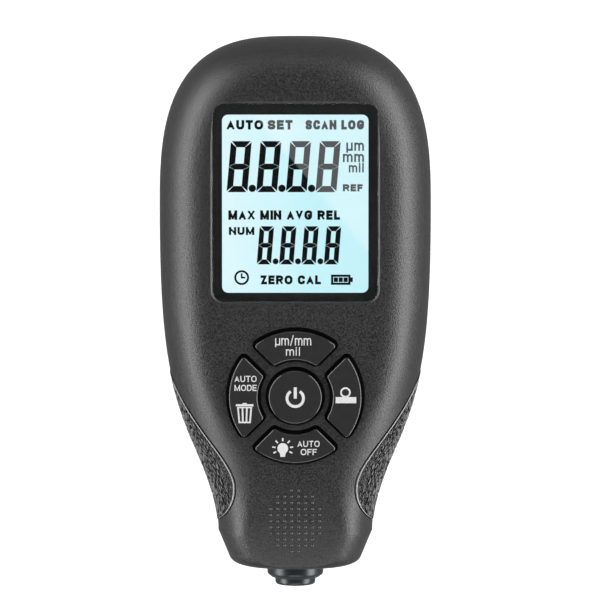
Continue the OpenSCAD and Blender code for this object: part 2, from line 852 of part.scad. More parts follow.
module contact_strip() {
    low = y_view - glass_len / 2;
    color("#4a4a4a") block(
        [-view_w / 2, view_w / 2], [low, low + strip_w], [z_board, z_glass - glass_t]);
}

module circuit_board() {
    color("#1f5a3c") translate([0, 0, z_board_under]) linear_extrude(board_t) difference() {
        polygon([
            [-board_w / 2, y_board_top], [board_w / 2, y_board_top],
            [board_w / 2, y_high_post - board_post_r], [board_low_w / 2, y_low_post],
            [board_low_w / 2, y_board_low], [-board_low_w / 2, y_board_low],
            [-board_low_w / 2, y_low_post], [-board_w / 2, y_high_post - board_post_r]
        ]);
        for (p = BOARD_POSTS) {
            translate(p) circle(board_screw_r + loose);
        }
    }
}

module controller_chip() {
    color("#202020") block(
        [-chip_w / 2, chip_w / 2], [y_keys - chip_w / 2, y_keys + chip_w / 2],
        [z_board_under - chip_h, z_board_under]);
}

module power_key() {
    cap_r = round_well_r - key_gap;
    top = body_t + key_proud;
    color("#1d1d1f") at_keys() rotate_extrude() polygon([
        [0, z_post], [post_r, z_post], [post_r, z_flange - flange_t],
        [round_well_r + flange_lap, z_flange - flange_t], [round_well_r + flange_lap, z_flange],
        [cap_r, z_flange], [cap_r, top - key_bevel], [cap_r - key_bevel, top], [0, top]
    ]);
}

module units_key() {
    segment_key(KEY_TURNS[0]);
}

module delete_key() {
    segment_key(KEY_TURNS[1]);
}

module light_key() {
    segment_key(KEY_TURNS[2]);
}

module zero_key() {
    segment_key(KEY_TURNS[3]);
}

module power_switch() {
    switch_housing(0, 0);
}

module units_switch() {
    switch_housing(KEY_TURNS[0], key_r);
}

module delete_switch() {
    switch_housing(KEY_TURNS[1], key_r);
}

module light_switch() {
    switch_housing(KEY_TURNS[2], key_r);
}

module zero_switch() {
    switch_housing(KEY_TURNS[3], key_r);
}

module power_plunger() {
    switch_plunger(0, 0);
}

module units_plunger() {
    switch_plunger(KEY_TURNS[0], key_r);
}

module delete_plunger() {
    switch_plunger(KEY_TURNS[1], key_r);
}

module light_plunger() {
    switch_plunger(KEY_TURNS[2], key_r);
}

module zero_plunger() {
    switch_plunger(KEY_TURNS[3], key_r);
}

// Cell with its button end towards +Y, turned about for the other side
module cell(x, turn) {
    color("#b8bcc0") translate([x, y_bay, z_cell]) rotate(turn)
        translate([0, (bay_len - cell_spring_len - plate_t - loose) / 2 - bay_len / 2 + cell_spring_len, 0])
        rotate([-90, 0, 0]) rotate_extrude() polygon([
            [0, -cell_len / 2], [cell_d / 2 - loose, -cell_len / 2], [cell_d / 2, loose - cell_len / 2],
            [cell_d / 2, cell_len / 2 - button_h - loose], [cell_d / 2 - loose, cell_len / 2 - button_h],
            [button_r, cell_len / 2 - button_h], [button_r, cell_len / 2], [0, cell_len / 2]
        ]);
}

module left_cell() {
    cell(-cell_x, 0);
}

module right_cell() {
    cell(cell_x, 180);
}

// Contact plate flat against the end of the bay
module cell_plate(x, turn) {
    color("#c9c4b4") translate([x, y_bay, z_cell]) rotate(turn)
        block([-plate_w / 2, plate_w / 2], [bay_len / 2 - plate_t, bay_len / 2], [-plate_w / 2, plate_w / 2]);
}

module left_cell_plate() {
    cell_plate(-cell_x, 0);
}

module right_cell_plate() {
    cell_plate(cell_x, 180);
}

// Wire along a helix about +Z whose radius tapers, with flat closed ends
module coil_wire(r0, r1, len, turns, wire) {
    sides = 6;
    rings_per_turn = 12;
    count = turns * rings_per_turn;
    rise = len - 2 * wire;
    rings = [for (k = [0:count])
        let (a = 360 * k / rings_per_turn, r = r0 + (r1 - r0) * k / count)
        [for (s = [0:sides - 1])
            let (b = 360 * s / sides, out = r + wire * cos(b))
            [out * cos(a), out * sin(a), wire + rise * k / count + wire * sin(b)]]];
    points = [for (r = rings) each r];
    last = count * sides;
    faces = concat(
        [for (k = [0:count - 1], s = [0:sides - 1])
            let (a = k * sides + s, b = k * sides + (s + 1) % sides)
            each [[a, b, b + sides], [a, b + sides, a + sides]]],
        [for (s = [1:sides - 2]) [0, s + 1, s]],
        [for (s = [1:sides - 2]) [last, last + s, last + s + 1]]
    );
    polyhedron(points, faces, convexity = 8);
}

module cell_spring(x, turn) {
    free_r = cell_spring_r * cell_spring_taper;
    color("#c9c4b4") translate([x, y_bay, z_cell]) rotate(turn)
        translate([0, -bay_len / 2, 0]) rotate([-90, 0, 0])
        coil_wire(cell_spring_r, free_r, cell_spring_len, cell_spring_turns, wire_r);
}

module left_cell_spring() {
    cell_spring(-cell_x, 0);
}

module right_cell_spring() {
    cell_spring(cell_x, 180);
}

// Fixed bush that guides the sleeve
module probe_collar() {
    step = y_step - y_tip;
    front = sleeve_out;
    back = front + collar_len;
    flange = y_flange - y_tip;
    color("#26272a") probe_turned(concat(
        [[bore_r, front], [collar_r - collar_round, front]],
        [for (k = [1:corner_steps])
            [collar_r - collar_round + collar_round * sin(90 * k / corner_steps),
             front + collar_round - collar_round * cos(90 * k / corner_steps)]],
        [
            [collar_r, flange], [collar_flange_r, flange],
            [collar_flange_r, flange + collar_flange_t], [collar_r, flange + collar_flange_t],
            [collar_r, back], [counter_r, back], [counter_r, step], [bore_r, step]
        ]
    ));
}

// Sliding tip with a flange that stops it in the collar
module probe_sleeve() {
    lip = y_lip - y_tip;
    color("#2c2d30") probe_turned(concat(
        [[core_r + run_clear, 0], [sleeve_r - sleeve_round, 0]],
        [for (k = [1:corner_steps])
            [sleeve_r - sleeve_round + sleeve_round * sin(90 * k / corner_steps),
             sleeve_round - sleeve_round * cos(90 * k / corner_steps)]],
        [
            [sleeve_r, lip], [lip_r, lip], [lip_r, lip + sleeve_lip_t],
            [coil_r + seat, lip + sleeve_lip_t], [coil_r + seat, sleeve_end_t],
            [core_r + run_clear, sleeve_end_t]
        ]
    ));
}

module probe_core() {
    color("#9a9ca0") probe_turned([[0, seat], [core_r, seat], [core_r, core_len], [0, core_len]]);
}

module probe_coil() {
    back = y_lip - y_tip + sleeve_lip_t;
    color("#b06a3a") probe_turned([
        [core_r + run_clear, sleeve_end_t], [coil_r, sleeve_end_t],
        [coil_r, back], [core_r + run_clear, back]
    ]);
}

module probe_spring() {
    back = y_lip + sleeve_lip_t;
    turn_r = coil_r + 3 * wire_r;
    color("#b9bcc0") translate([0, back, part_z]) rotate([-90, 0, 0])
        coil_wire(turn_r, turn_r, y_plug - back, probe_spring_turns, wire_r);
}

module probe_plug() {
    front = y_plug - y_tip;
    color("#3c3f44") probe_turned([
        [core_r, front], [counter_r - seat, front],
        [counter_r - seat, front + plug_t], [core_r, front + plug_t]
    ]);
}

module case_screws() {
    color("#8c8f94") for (p = CASE_SCREWS) {
        translate([p.x, p.y, screw_seat]) {
            translate([0, 0, -screw_head_h]) cylinder(r = screw_head_r, h = screw_head_h);
            cylinder(r = screw_r, h = screw_len);
        }
    }
}

module board_screws() {
    color("#8c8f94") for (p = BOARD_POSTS) {
        translate([p.x, p.y, z_board_under]) {
            translate([0, 0, -board_head_h]) cylinder(r = board_head_r, h = board_head_h);
            cylinder(r = board_screw_r, h = board_screw_len + board_t - loose);
        }
    }
}

front_shell();
rear_shell();
battery_door();
left_grip();
right_grip();
display_window();
display_glass();
display_backlight();
display_holder();
contact_strip();
circuit_board();
controller_chip();
power_key();
units_key();
delete_key();
light_key();
zero_key();
power_switch();
units_switch();
delete_switch();
light_switch();
zero_switch();
power_plunger();
units_plunger();
delete_plunger();
light_plunger();
zero_plunger();
left_cell();
right_cell();
left_cell_plate();
right_cell_plate();
left_cell_spring();
right_cell_spring();
probe_collar();
probe_sleeve();
probe_core();
probe_coil();
probe_spring();
probe_plug();
case_screws();
board_screws();
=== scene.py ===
"""Dressed scene of a hand-held coating thickness gauge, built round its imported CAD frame.

Sizes are in millimetres until a mesh is made. X runs across the face, +Y points to the top of the head
and +Z out of the display, as in the CAD frame.
"""

import json
import logging
import math
from collections.abc import Callable
from dataclasses import dataclass, field
from enum import Enum
from functools import lru_cache

import bmesh
import bpy
import numpy as np
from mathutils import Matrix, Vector

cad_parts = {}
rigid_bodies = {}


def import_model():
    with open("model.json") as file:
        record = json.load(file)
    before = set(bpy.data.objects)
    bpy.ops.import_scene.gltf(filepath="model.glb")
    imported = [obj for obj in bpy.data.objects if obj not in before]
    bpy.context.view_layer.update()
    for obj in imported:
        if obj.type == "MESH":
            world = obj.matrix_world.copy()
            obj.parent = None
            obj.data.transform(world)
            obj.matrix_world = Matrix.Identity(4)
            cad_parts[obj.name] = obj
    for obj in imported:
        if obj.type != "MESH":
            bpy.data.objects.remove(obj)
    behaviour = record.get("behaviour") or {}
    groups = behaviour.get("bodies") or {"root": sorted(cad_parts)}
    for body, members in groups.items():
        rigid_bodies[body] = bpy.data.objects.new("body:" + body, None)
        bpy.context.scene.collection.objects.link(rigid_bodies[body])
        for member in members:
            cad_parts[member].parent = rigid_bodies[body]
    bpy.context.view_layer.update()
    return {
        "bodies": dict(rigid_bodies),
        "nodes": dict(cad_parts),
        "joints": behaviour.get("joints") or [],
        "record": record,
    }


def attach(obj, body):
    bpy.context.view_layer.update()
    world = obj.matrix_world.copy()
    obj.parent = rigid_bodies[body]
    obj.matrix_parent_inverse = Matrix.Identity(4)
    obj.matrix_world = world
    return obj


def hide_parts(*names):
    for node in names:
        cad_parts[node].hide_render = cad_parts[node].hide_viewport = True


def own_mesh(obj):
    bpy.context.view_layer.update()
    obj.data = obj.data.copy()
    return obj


LOG = logging.getLogger("gauge")
MM = 0.001
Array = np.ndarray
Pair = tuple[float, float]
Triple = tuple[float, float, float]
Node = bpy.types.Node
Tree = bpy.types.NodeTree
Socket = bpy.types.NodeSocket
Mesh = bpy.types.Mesh
Thing = bpy.types.Object


class Side(Enum):
    """The display side and the battery side of the body."""

    FRONT = 1
    BACK = -1


class Cut(Enum):
    """How a tool solid changes the solid that it meets."""

    TAKE = "DIFFERENCE"
    ADD = "UNION"


class Axis(Enum):
    """Line that a turned piece is turned about: along the body, or out of the face."""

    ALONG = "Y"
    OUT = "Z"


# Finishes


def linear(code: str) -> tuple[float, ...]:
    """Turn an sRGB hex code into linear light.

    Args:
        code: Six hex digits after a hash.

    Returns:
        Red, green, blue and a full alpha.
    """
    parts = [int(code[k : k + 2], 16) / 255 for k in (1, 3, 5)]
    light = [v / 12.92 if v <= 0.04045 else ((v + 0.055) / 1.055) ** 2.4 for v in parts]
    return (light[0], light[1], light[2], 1.0)


def add_node(
    tree: Tree, kind: str, values: dict | None = None, links: dict | None = None, **settings: object
) -> Node:
    """Add one node with its settings, socket values and incoming links.

    Args:
        tree: Node tree that takes the node.
        kind: Blender's name of the node type.
        values: Socket name or index to a constant.
        links: Socket name or index to the socket that feeds it.
        settings: Attributes of the node.

    Returns:
        The new node.
    """
    made = tree.nodes.new(kind)
    for key, value in settings.items():
        setattr(made, key, value)
    for key, value in (values or {}).items():
        made.inputs[key].default_value = value
    for key, socket in (links or {}).items():
        tree.links.new(socket, made.inputs[key])
    return made


@dataclass(frozen=True)
class Finish:
    """A surface: two tones mottled together, over a fine grain in the surface itself."""

    name: str
    tone: str
    other_tone: str
    roughness: float
    mottle_mm: float = 2.0
    grain_mm: float = 0.3
    grain_depth_mm: float = 0.0
    roughness_swing: float = 0.06
    metallic: float = 0.0
    ior: float = 1.5
    coat: float = 0.0
    stretch: Triple = (1.0, 1.0, 1.0)
    mottle_blur: float = 0.18

    @lru_cache(maxsize=None)
    def material(self) -> bpy.types.Material:
        """Build the material once.

        Returns:
            The finished material.
        """
        made = bpy.data.materials.new(self.name)
        made.use_nodes = True
        tree = made.node_tree
        shader = tree.nodes["Principled BSDF"]
        self.shade(tree, shader)
        return made

    def shade(self, tree: Tree, shader: Node) -> None:
        """Feed the shader with the mottle, the gloss that follows it, and the grain.

        Args:
            tree: The material's node tree.
            shader: Its Principled shader.
        """
        shader.inputs["Metallic"].default_value = self.metallic
        shader.inputs["Coat Weight"].default_value = self.coat
        if not self.metallic:
            shader.inputs["IOR"].default_value = self.ior
        place = add_node(tree, "ShaderNodeTexCoord").outputs["Object"]
        mapping = add_node(tree, "ShaderNodeMapping", {"Scale": self.stretch}, {"Vector": place})
        spread = mapping.outputs["Vector"]
        cloud = add_node(
            tree,
            "ShaderNodeTexNoise",
            {"Scale": 1 / (self.mottle_mm * MM), "Detail": 4.0, "Roughness": 0.6},
            {"Vector": spread},
        ).outputs["Fac"]
        tones = add_node(tree, "ShaderNodeValToRGB", links={"Fac": cloud})
        tones.color_ramp.elements[0].position = 0.5 - self.mottle_blur
        tones.color_ramp.elements[1].position = 0.5 + self.mottle_blur
        tones.color_ramp.elements[0].color = linear(self.other_tone)
        tones.color_ramp.elements[1].color = linear(self.tone)
        tree.links.new(tones.outputs["Color"], shader.inputs["Base Color"])
        gloss = add_node(
            tree,
            "ShaderNodeMapRange",
            {
                "From Min": 0.3,
                "From Max": 0.7,
                "To Min": self.roughness - self.roughness_swing,
                "To Max": self.roughness + self.roughness_swing,
            },
            {"Value": cloud},
        )
        tree.links.new(gloss.outputs["Result"], shader.inputs["Roughness"])
        if self.grain_depth_mm:
            grain = add_node(
                tree,
                "ShaderNodeTexNoise",
                {"Scale": 1 / (self.grain_mm * MM), "Detail": 2.0, "Roughness": 0.55},
                {"Vector": spread},
            ).outputs["Fac"]
            relief = add_node(
                tree,
                "ShaderNodeBump",
                {"Strength": 1.0, "Distance": self.grain_depth_mm * MM},
                {"Height": grain},
            )
            tree.links.new(relief.outputs["Normal"], shader.inputs["Normal"])


@dataclass(frozen=True)
class RubberWithPaintedHighlight(Finish):
    """Rubber painted pale as a highlight, and smoother, where the mesh's "rim" value is high."""

    # painted highlight: this pale tone stands for the lamps' glint on the bead and the pebbles' tops
    painted_highlight: str = "#a0a0a0"
    highlight_roughness: float = 0.16

    def shade(self, tree: Tree, shader: Node) -> None:
        """Blend the plain finish into the painted highlight, pale and smoother, on the raised parts.

        Args:
            tree: The material's node tree.
            shader: Its Principled shader.
        """
        Finish.shade(self, tree, shader)
        # the mesh's "rim" value marks where the highlight is painted
        rim = add_node(tree, "ShaderNodeAttribute", attribute_name="rim").outputs["Fac"]
        plain = shader.inputs["Base Color"].links[0].from_socket
        tone = add_node(
            tree, "ShaderNodeMix", {"B": linear(self.painted_highlight)}, {"Factor": rim, "A": plain}, data_type="RGBA"
        )
        tree.links.new(tone.outputs["Result"], shader.inputs["Base Color"])
        ends = {"To Min": self.roughness, "To Max": self.highlight_roughness}
        gloss = add_node(tree, "ShaderNodeMapRange", ends, {"Value": rim})
        tree.links.new(gloss.outputs["Result"], shader.inputs["Roughness"])


@dataclass(frozen=True)
class LitGlass(Finish):
    """Liquid-crystal glass, lit: a cool glow, milkier to the left and under a painted reflection."""

    # pale tone to the left and under the painted reflection
    milky: str = "#def8fc"
    glow: float = 1.08
    unlit: str = "#20282a"
    fade_x: Pair = (-14.0, 3.0)
    # the painted reflection above a slanting line: its softness, strength, a point on the line and its slope
    glare_soft: float = 2.0
    glare_most: float = 0.6
    glare_at: Pair = (2.58, 26.6)
    glare_slope: float = 1.2

    def glare_share(self, tree: Tree, soft_mm: float, most: float = 1.0) -> Socket:
        """Share of the painted reflection: nought below a slanting line across the glass and one above it.

        Args:
            tree: The material's node tree.
            soft_mm: Width over which the painted reflection comes in.
            most: Share above the line.

        Returns:
            The socket that holds the share.
        """
        place = add_node(tree, "ShaderNodeTexCoord").outputs["Object"]
        aim = (self.glare_slope, 1.0, 0.0)
        height = add_node(tree, "ShaderNodeVectorMath", {1: aim}, {0: place}, operation="DOT_PRODUCT")
        line = (self.glare_slope * self.glare_at[0] + self.glare_at[1]) * MM
        return add_node(
            tree,
            "ShaderNodeMapRange",
            {"From Min": line - soft_mm * MM / 2, "From Max": line + soft_mm * MM / 2, "To Max": most},
            {"Value": height.outputs["Value"]},
            interpolation_type="SMOOTHSTEP",
        ).outputs["Result"]

    def shade(self, tree: Tree, shader: Node) -> None:
        """Add the glow to the plain finish.

        Args:
            tree: The material's node tree.
            shader: Its Principled shader.
        """
        Finish.shade(self, tree, shader)
        place = add_node(tree, "ShaderNodeTexCoord").outputs["Object"]
        aside = add_node(tree, "ShaderNodeSeparateXYZ", links={0: place}).outputs["X"]
        ends = {"From Min": self.fade_x[0] * MM, "From Max": self.fade_x[1] * MM}
        far = add_node(tree, "ShaderNodeMapRange", ends, {"Value": aside})
        # pale to the left and under the painted reflection
        share = add_node(
            tree,
            "ShaderNodeMath",
            links={0: far.outputs["Result"], 1: self.glare_share(tree, self.glare_soft, self.glare_most)},
            operation="SUBTRACT",
            use_clamp=True,
        ).outputs["Value"]
        glow = add_node(tree, "ShaderNodeValToRGB", links={"Fac": share})
        glow.color_ramp.elements[0].color = linear(self.milky)
        glow.color_ramp.elements[1].color = linear(self.tone)
        tree.links.new(glow.outputs["Color"], shader.inputs["Emission Color"])
        shader.inputs["Emission Strength"].default_value = self.glow
        tree.links.remove(shader.inputs["Base Color"].links[0])
        shader.inputs["Base Color"].default_value = linear(self.unlit)


@dataclass(frozen=True)
class SegmentInk(LitGlass):
    """Dark segments of the display: black, and grey where the painted reflection lies over them."""

    # grey of the painted reflection over the segments
    glare_tone: str = "#58595b"
    glare_soft: float = 0.5

    def shade(self, tree: Tree, shader: Node) -> None:
        """Colour the segments: grey under the painted reflection.

        Args:
            tree: The material's node tree.
            shader: Its Principled shader.
        """
        Finish.shade(self, tree, shader)
        ink = add_node(tree, "ShaderNodeValToRGB", links={"Fac": self.glare_share(tree, self.glare_soft)})
        ink.color_ramp.elements[0].color = linear(self.tone)
        ink.color_ramp.elements[1].color = linear(self.glare_tone)
        tree.links.new(ink.outputs["Color"], shader.inputs["Emission Color"])
        shader.inputs["Emission Strength"].default_value = 1.0


@dataclass(frozen=True)
class ClearSheet(Finish):
    """A clear moulded sheet that light passes straight through."""

    def shade(self, tree: Tree, shader: Node) -> None:
        """Let light through the plain finish.

        Args:
            tree: The material's node tree.
            shader: Its Principled shader.
        """
        Finish.shade(self, tree, shader)
        shader.inputs["Transmission Weight"].default_value = 1.0


# After its name, each finish gives two tones, the roughness, the sizes of the mottle and of the grain, the
# depth of the grain, and how far the roughness swings.

# Moulded ABS from a spark-eroded tool: a dry charcoal skin whose fine pits break the highlights up. Real
# pits are finer than a pixel, so they are drawn coarser, to show.
CASE = Finish("moulded_abs", "#242424", "#040404", 0.45, 0.32, 0.3, 0.08, 0.1, ior=1.56, mottle_blur=0.1)
# The same plastic from another tool, for the back and its lid.
BACK = Finish("moulded_abs_back", "#242424", "#040404", 0.46, 0.32, 0.3, 0.08, 0.1, ior=1.56, mottle_blur=0.1)
# Leather-grained rubber: near black, with a pale painted highlight along its bead and its pebbles' tops.
RUBBER = RubberWithPaintedHighlight("grained_rubber", "#0e0e0e", "#060606", 0.22, 0.5, 0.14, 0.004, 0.05, ior=1.4)
# Touch dots: polished tops of the same plastic, each with a small sharp glint.
DOT = Finish("polished_abs_dots", "#303030", "#282828", 0.16, 0.8, 0.2, 0.002, 0.03, ior=1.54)
# Smooth moulded ABS of the keys: glossier than the case, with only a trace of texture.
KEY = Finish("satin_abs_key", "#282828", "#252525", 0.14, 1.5, 0.3, 0.005, 0.02, ior=1.55)
# White pad-printed ink: flat and slightly chalky.
LEGEND = Finish("printed_white_ink", "#c0c0c0", "#b8b8b8", 0.6, 0.8, 0.2, 0.004, 0.05, ior=1.48)
# Cast acrylic: clear and polished.
ACRYLIC = ClearSheet("clear_acrylic", "#ffffff", "#fbfdfd", 0.03, 8.0, roughness_swing=0.005, ior=1.49)
# Black screen print on the underside of the window: even and dead flat.
PRINT = Finish("black_screen_print", "#161618", "#131315", 0.5, 3.0, 0.3, 0.003, 0.04, ior=1.45)
# Lit liquid-crystal glass: a pale cool glow, milkier to the left and under a painted reflection.
DISPLAY = LitGlass("lit_display_glass", "#c6f2fa", "#c2eef7", 0.2, 20.0, roughness_swing=0.02, ior=1.52)
# The segments inside it: black, and grey under the painted reflection.
SEGMENT = SegmentInk("display_segments", "#020203", "#010102", 0.2, 2.0, roughness_swing=0.02, ior=1.5)
# Turned black acetal of the probe: smooth and half glossy, with faint marks round the turn.
ACETAL = Finish(
    "turned_black_acetal", "#232427", "#1e1f22", 0.32, 1.2, 0.12, 0.002, 0.04, ior=1.48, stretch=(1, 6, 1)
)
# Ground steel of the probe's pole and spring: mid grey, with soft clean highlights.
POLE = Finish("ground_steel", "#8f9195", "#7c7e82", 0.28, 0.6, 0.1, 0.002, 0.06, metallic=1.0)
# Zinc-plated steel of the screws: pale grey and a little cloudy.
ZINC = Finish("zinc_plated_steel", "#a7a9ad", "#8e9095", 0.34, 0.8, 0.15, 0.003, 0.08, metallic=1.0)
# Nickel-plated steel of the cells' contacts: warm, pale and bright.
NICKEL = Finish("nickel_plated_steel", "#c8c3b6", "#b5b0a4", 0.26, 1.2, 0.15, 0.002, 0.06, metallic=1.0)
# Printed film round a cell: plain grey under a thin clear coat.
WRAP = Finish("cell_film", "#8d9196", "#85898e", 0.34, 4.0, 0.3, 0.002, 0.04, ior=1.5, coat=0.3)
# Enamelled copper winding: reddish brown and bright, in fine bands like turns of wire.
COPPER = Finish(
    "enamelled_copper", "#b5683a", "#8d4a26", 0.32, 0.4, 0.2, 0.01, 0.05, metallic=1.0, stretch=(1, 4, 1)
)
# Solder mask over glass-fibre board: an even green with a soft shine.
BOARD = Finish("green_solder_mask", "#1f6b45", "#195a39", 0.35, 3.0, 0.4, 0.003, 0.05, ior=1.5)
# Moulded epoxy of the chip, the switches and the probe's plug: dark grey and dry.
EPOXY = Finish("moulded_epoxy", "#242527", "#1e1f21", 0.6, 0.5, 0.2, 0.006, 0.05, ior=1.55)
# Moulded nylon of the switches' plungers: plain grey, half matt.
NYLON = Finish("grey_nylon", "#8a8d92", "#7f8287", 0.5, 1.0, 0.3, 0.004, 0.05, ior=1.53)
# Milky light guide behind the display: smooth and near white.
GUIDE = Finish("milky_light_guide", "#eef3f3", "#e4eaea", 0.3, 4.0, 0.3, 0.002, 0.03, ior=1.49)
# Moulded plastic of the display's holder: off-white, half matt.
PALE = Finish("pale_moulded_holder", "#dedfda", "#d4d5d0", 0.5, 2.0, 0.3, 0.004, 0.05, ior=1.5)
# Layered silicone of the contact strip: matt, in fine layers of light and dark grey.
STRIP = Finish(
    "layered_silicone", "#5a5b5d", "#39393b", 0.65, 0.25, 0.2, 0.004, 0.05, ior=1.41, stretch=(8, 1, 1)
)


# Solids

WELD = 2e-7  # points nearer than this are one, in metres
SLIVER = 1e-7  # edges shorter than this are dropped, in metres
COPY_WELD = 1e-6  # points of a copied CAD node nearer than this are one, in metres
LEVEL_TURN = 1.0  # faces of a copied node that turn by less than this are one, in degrees
SHARP_TURN = 40.0  # edges of a copied node that turn by more than this are rounded, in degrees
LARGE_FACE_PULL = 70  # how far large faces keep their own normals, where fifty is neutral


@dataclass
class Solid:
    """Points in millimetres and the faces that join them."""

    points: Array
    faces: list[Array]

    @classmethod
    def joined(cls, *solids: "Solid") -> "Solid":
        """Put several solids into one list of points.

        Args:
            solids: The solids.

        Returns:
            One solid that holds them all.
        """
        starts = np.cumsum([0, *[len(s.points) for s in solids[:-1]]])
        faces = [f + k for s, k in zip(solids, starts) for f in s.faces]
        return cls(np.vstack([s.points for s in solids]), faces)

    def moved(self, x: float = 0.0, y: float = 0.0, z: float = 0.0) -> "Solid":
        """Return the solid shifted by x, y and z."""
        return Solid(self.points + (x, y, z), self.faces)

    def turned(self, degrees: float) -> "Solid":
        """Return the solid turned about the upright axis."""
        a = math.radians(degrees)
        turn = np.array([[math.cos(a), math.sin(a), 0], [-math.sin(a), math.cos(a), 0], [0, 0, 1]])
        return Solid(self.points @ turn, self.faces)

    def mesh(self, name: str, rim: Array | None = None) -> Mesh:
        """Make a Blender mesh with its seams and poles closed and its faces turned outwards.

        Args:
            name: Name of the mesh.
            rim: Value from nought to one at each point, kept as the mesh's "rim" attribute.

        Returns:
            The mesh, in metres.
        """
        made = bpy.data.meshes.new(name)
        made.from_pydata((self.points * MM).tolist(), [], [row for f in self.faces for row in f.tolist()])
        if rim is not None:
            made.attributes.new("rim", "FLOAT", "POINT").data.foreach_set("value", rim)
        work = bmesh.new()
        work.from_mesh(made)
        bmesh.ops.remove_doubles(work, verts=work.verts, dist=WELD)
        bmesh.ops.dissolve_degenerate(work, edges=work.edges, dist=SLIVER)
        bmesh.ops.recalc_face_normals(work, faces=work.faces)
        work.to_mesh(made)
        work.free()
        return made


def grid(points: Array, wrap: bool = False) -> Solid:
    """Join a grid of points by four-sided faces.

    Args:
        points: Rows by columns by three.
        wrap: Whether the last column joins the first.

    Returns:
        The skin through the points.
    """
    rows, columns = points.shape[:2]
    row = np.arange(rows - 1)[:, None] * columns
    column = np.arange(columns if wrap else columns - 1)[None, :]
    a, b = row + column, row + (column + 1) % columns
    return Solid(points.reshape(-1, 3), [np.stack([a, b, b + columns, a + columns], -1).reshape(-1, 4)])


def fan(ring: Array) -> Solid:
    """Close a ring with triangles to its middle.

    Args:
        ring: Points round the ring.

    Returns:
        The disc.
    """
    count = len(ring)
    a = np.arange(count)
    faces = np.stack([a, (a + 1) % count, np.full(count, count)], -1)
    return Solid(np.vstack([ring, ring.mean(0)]), [faces])


def tube(rings: Array) -> Solid:
    """Join rings into a closed solid, with a disc on each end."""
    return Solid.joined(grid(rings, wrap=True), fan(rings[0]), fan(rings[-1]))


def lifted(plan: Array, z: float | Array) -> Array:
    """Give plan points a height."""
    height = np.broadcast_to(np.asarray(z, float)[..., None], plan.shape[:-1] + (1,))
    return np.concatenate([plan, height], -1)


def slab(left: Array, right: Array, low: float, high: float, closed: bool = False) -> Solid:
    """Plate between two plan edges: a rectangle carried along the pair.

    Args:
        left: Points of one edge.
        right: Points of the other edge, as many.
        low: Height of the underside.
        high: Height of the top.
        closed: Whether the last pair joins the first.

    Returns:
        The closed plate.
    """
    loops = np.stack([lifted(left, low), lifted(right, low), lifted(right, high), lifted(left, high)], 1)
    if closed:
        return grid(np.concatenate([loops, loops[:1]]), wrap=True)
    ends = [np.array([[0, 1, 2, 3]]), np.array([[0, 1, 2, 3]]) + 4 * (len(loops) - 1)]
    skin = grid(loops, wrap=True)
    return Solid(skin.points, skin.faces + ends)


def bar(start: Pair, end: Pair, width: float, low: float, high: float) -> Solid:
    """Straight stroke of a given width between two plan points, as a plate."""
    a, b = np.array(start, float), np.array(end, float)
    across = np.array([a[1] - b[1], b[0] - a[0]]) / np.hypot(*(b - a)) * width / 2
    return slab(np.array([a + across, b + across]), np.array([a - across, b - across]), low, high)


def ray(radius: float | Array, angle: float | Array) -> Array:
    """Plan points at a radius, at angles turned from +Y toward +X."""
    return radius * np.stack([np.sin(angle), np.cos(angle)], -1)


def arc(centre: Pair, radius: float, width: float, low: float, high: float, gap: float = 0.0) -> Solid:
    """Round stroke about a centre, open at the top by a gap either side in degrees, as a plate."""
    a = np.radians(np.linspace(gap, 360 - gap, 49))
    inner, outer = ray(radius - width / 2, a) + centre, ray(radius + width / 2, a) + centre
    return slab(inner[:-1], outer[:-1], low, high, True) if gap == 0 else slab(inner, outer, low, high)


def box(x: Pair, y: Pair, z: Pair) -> Solid:
    """Block between two stations along each axis."""
    return slab(np.array([[x[0], y[0]], [x[0], y[1]]]), np.array([[x[1], y[0]], [x[1], y[1]]]), *z)


def disc(centre: Pair, radius: float, low: float, high: float, count: int = 32) -> Solid:
    """Upright round pin between two heights."""
    a = np.linspace(0, 2 * np.pi, count, endpoint=False)
    plan = np.stack([np.cos(a), np.sin(a)], -1) * radius + centre
    return tube(np.stack([lifted(plan, low), lifted(plan, high)]))


def eased(corners: list[Triple], steps: int = 6) -> Array:
    """Profile through corners, each eased by a quadratic curve between points a radius before and after it.

    Args:
        corners: Radius from the axis, station along it, and easing of each corner.
        steps: Points of an eased corner.

    Returns:
        Points of the closed profile.
    """
    spots = np.array([c[:2] for c in corners], float)
    runs = []
    for k, (_, _, ease) in enumerate(corners):
        here, before, after = spots[k], spots[k - 1], spots[(k + 1) % len(spots)]
        if ease == 0:
            runs.append(here[None])
            continue
        start = here + (before - here) / np.hypot(*(before - here)) * ease
        end = here + (after - here) / np.hypot(*(after - here)) * ease
        t = np.linspace(0, 1, steps)[:, None]
        runs.append(start * (1 - t) ** 2 + 2 * here * t * (1 - t) + end * t**2)
    return np.vstack(runs)


def turned(profile: Array, centre: Pair, axis: Axis, count: int = 96) -> Solid:
    """Turn a closed profile about an axis.

    Args:
        profile: Radius and station of each point.
        centre: Place of the axis: x and z for one along the body, x and y for one out of the face.
        axis: The axis.
        count: Steps round the turn.

    Returns:
        The closed solid.
    """
    closed = np.vstack([profile, profile[:1]])
    a = np.linspace(0, 2 * np.pi, count, endpoint=False)
    radius, station = closed[:, :1], np.broadcast_to(closed[:, 1:], (len(closed), count))
    u, v = centre[0] + radius * np.cos(a), centre[1] + radius * np.sin(a)
    order = (u, station, v) if axis is Axis.ALONG else (u, v, station)
    return grid(np.stack(order, -1), wrap=True)


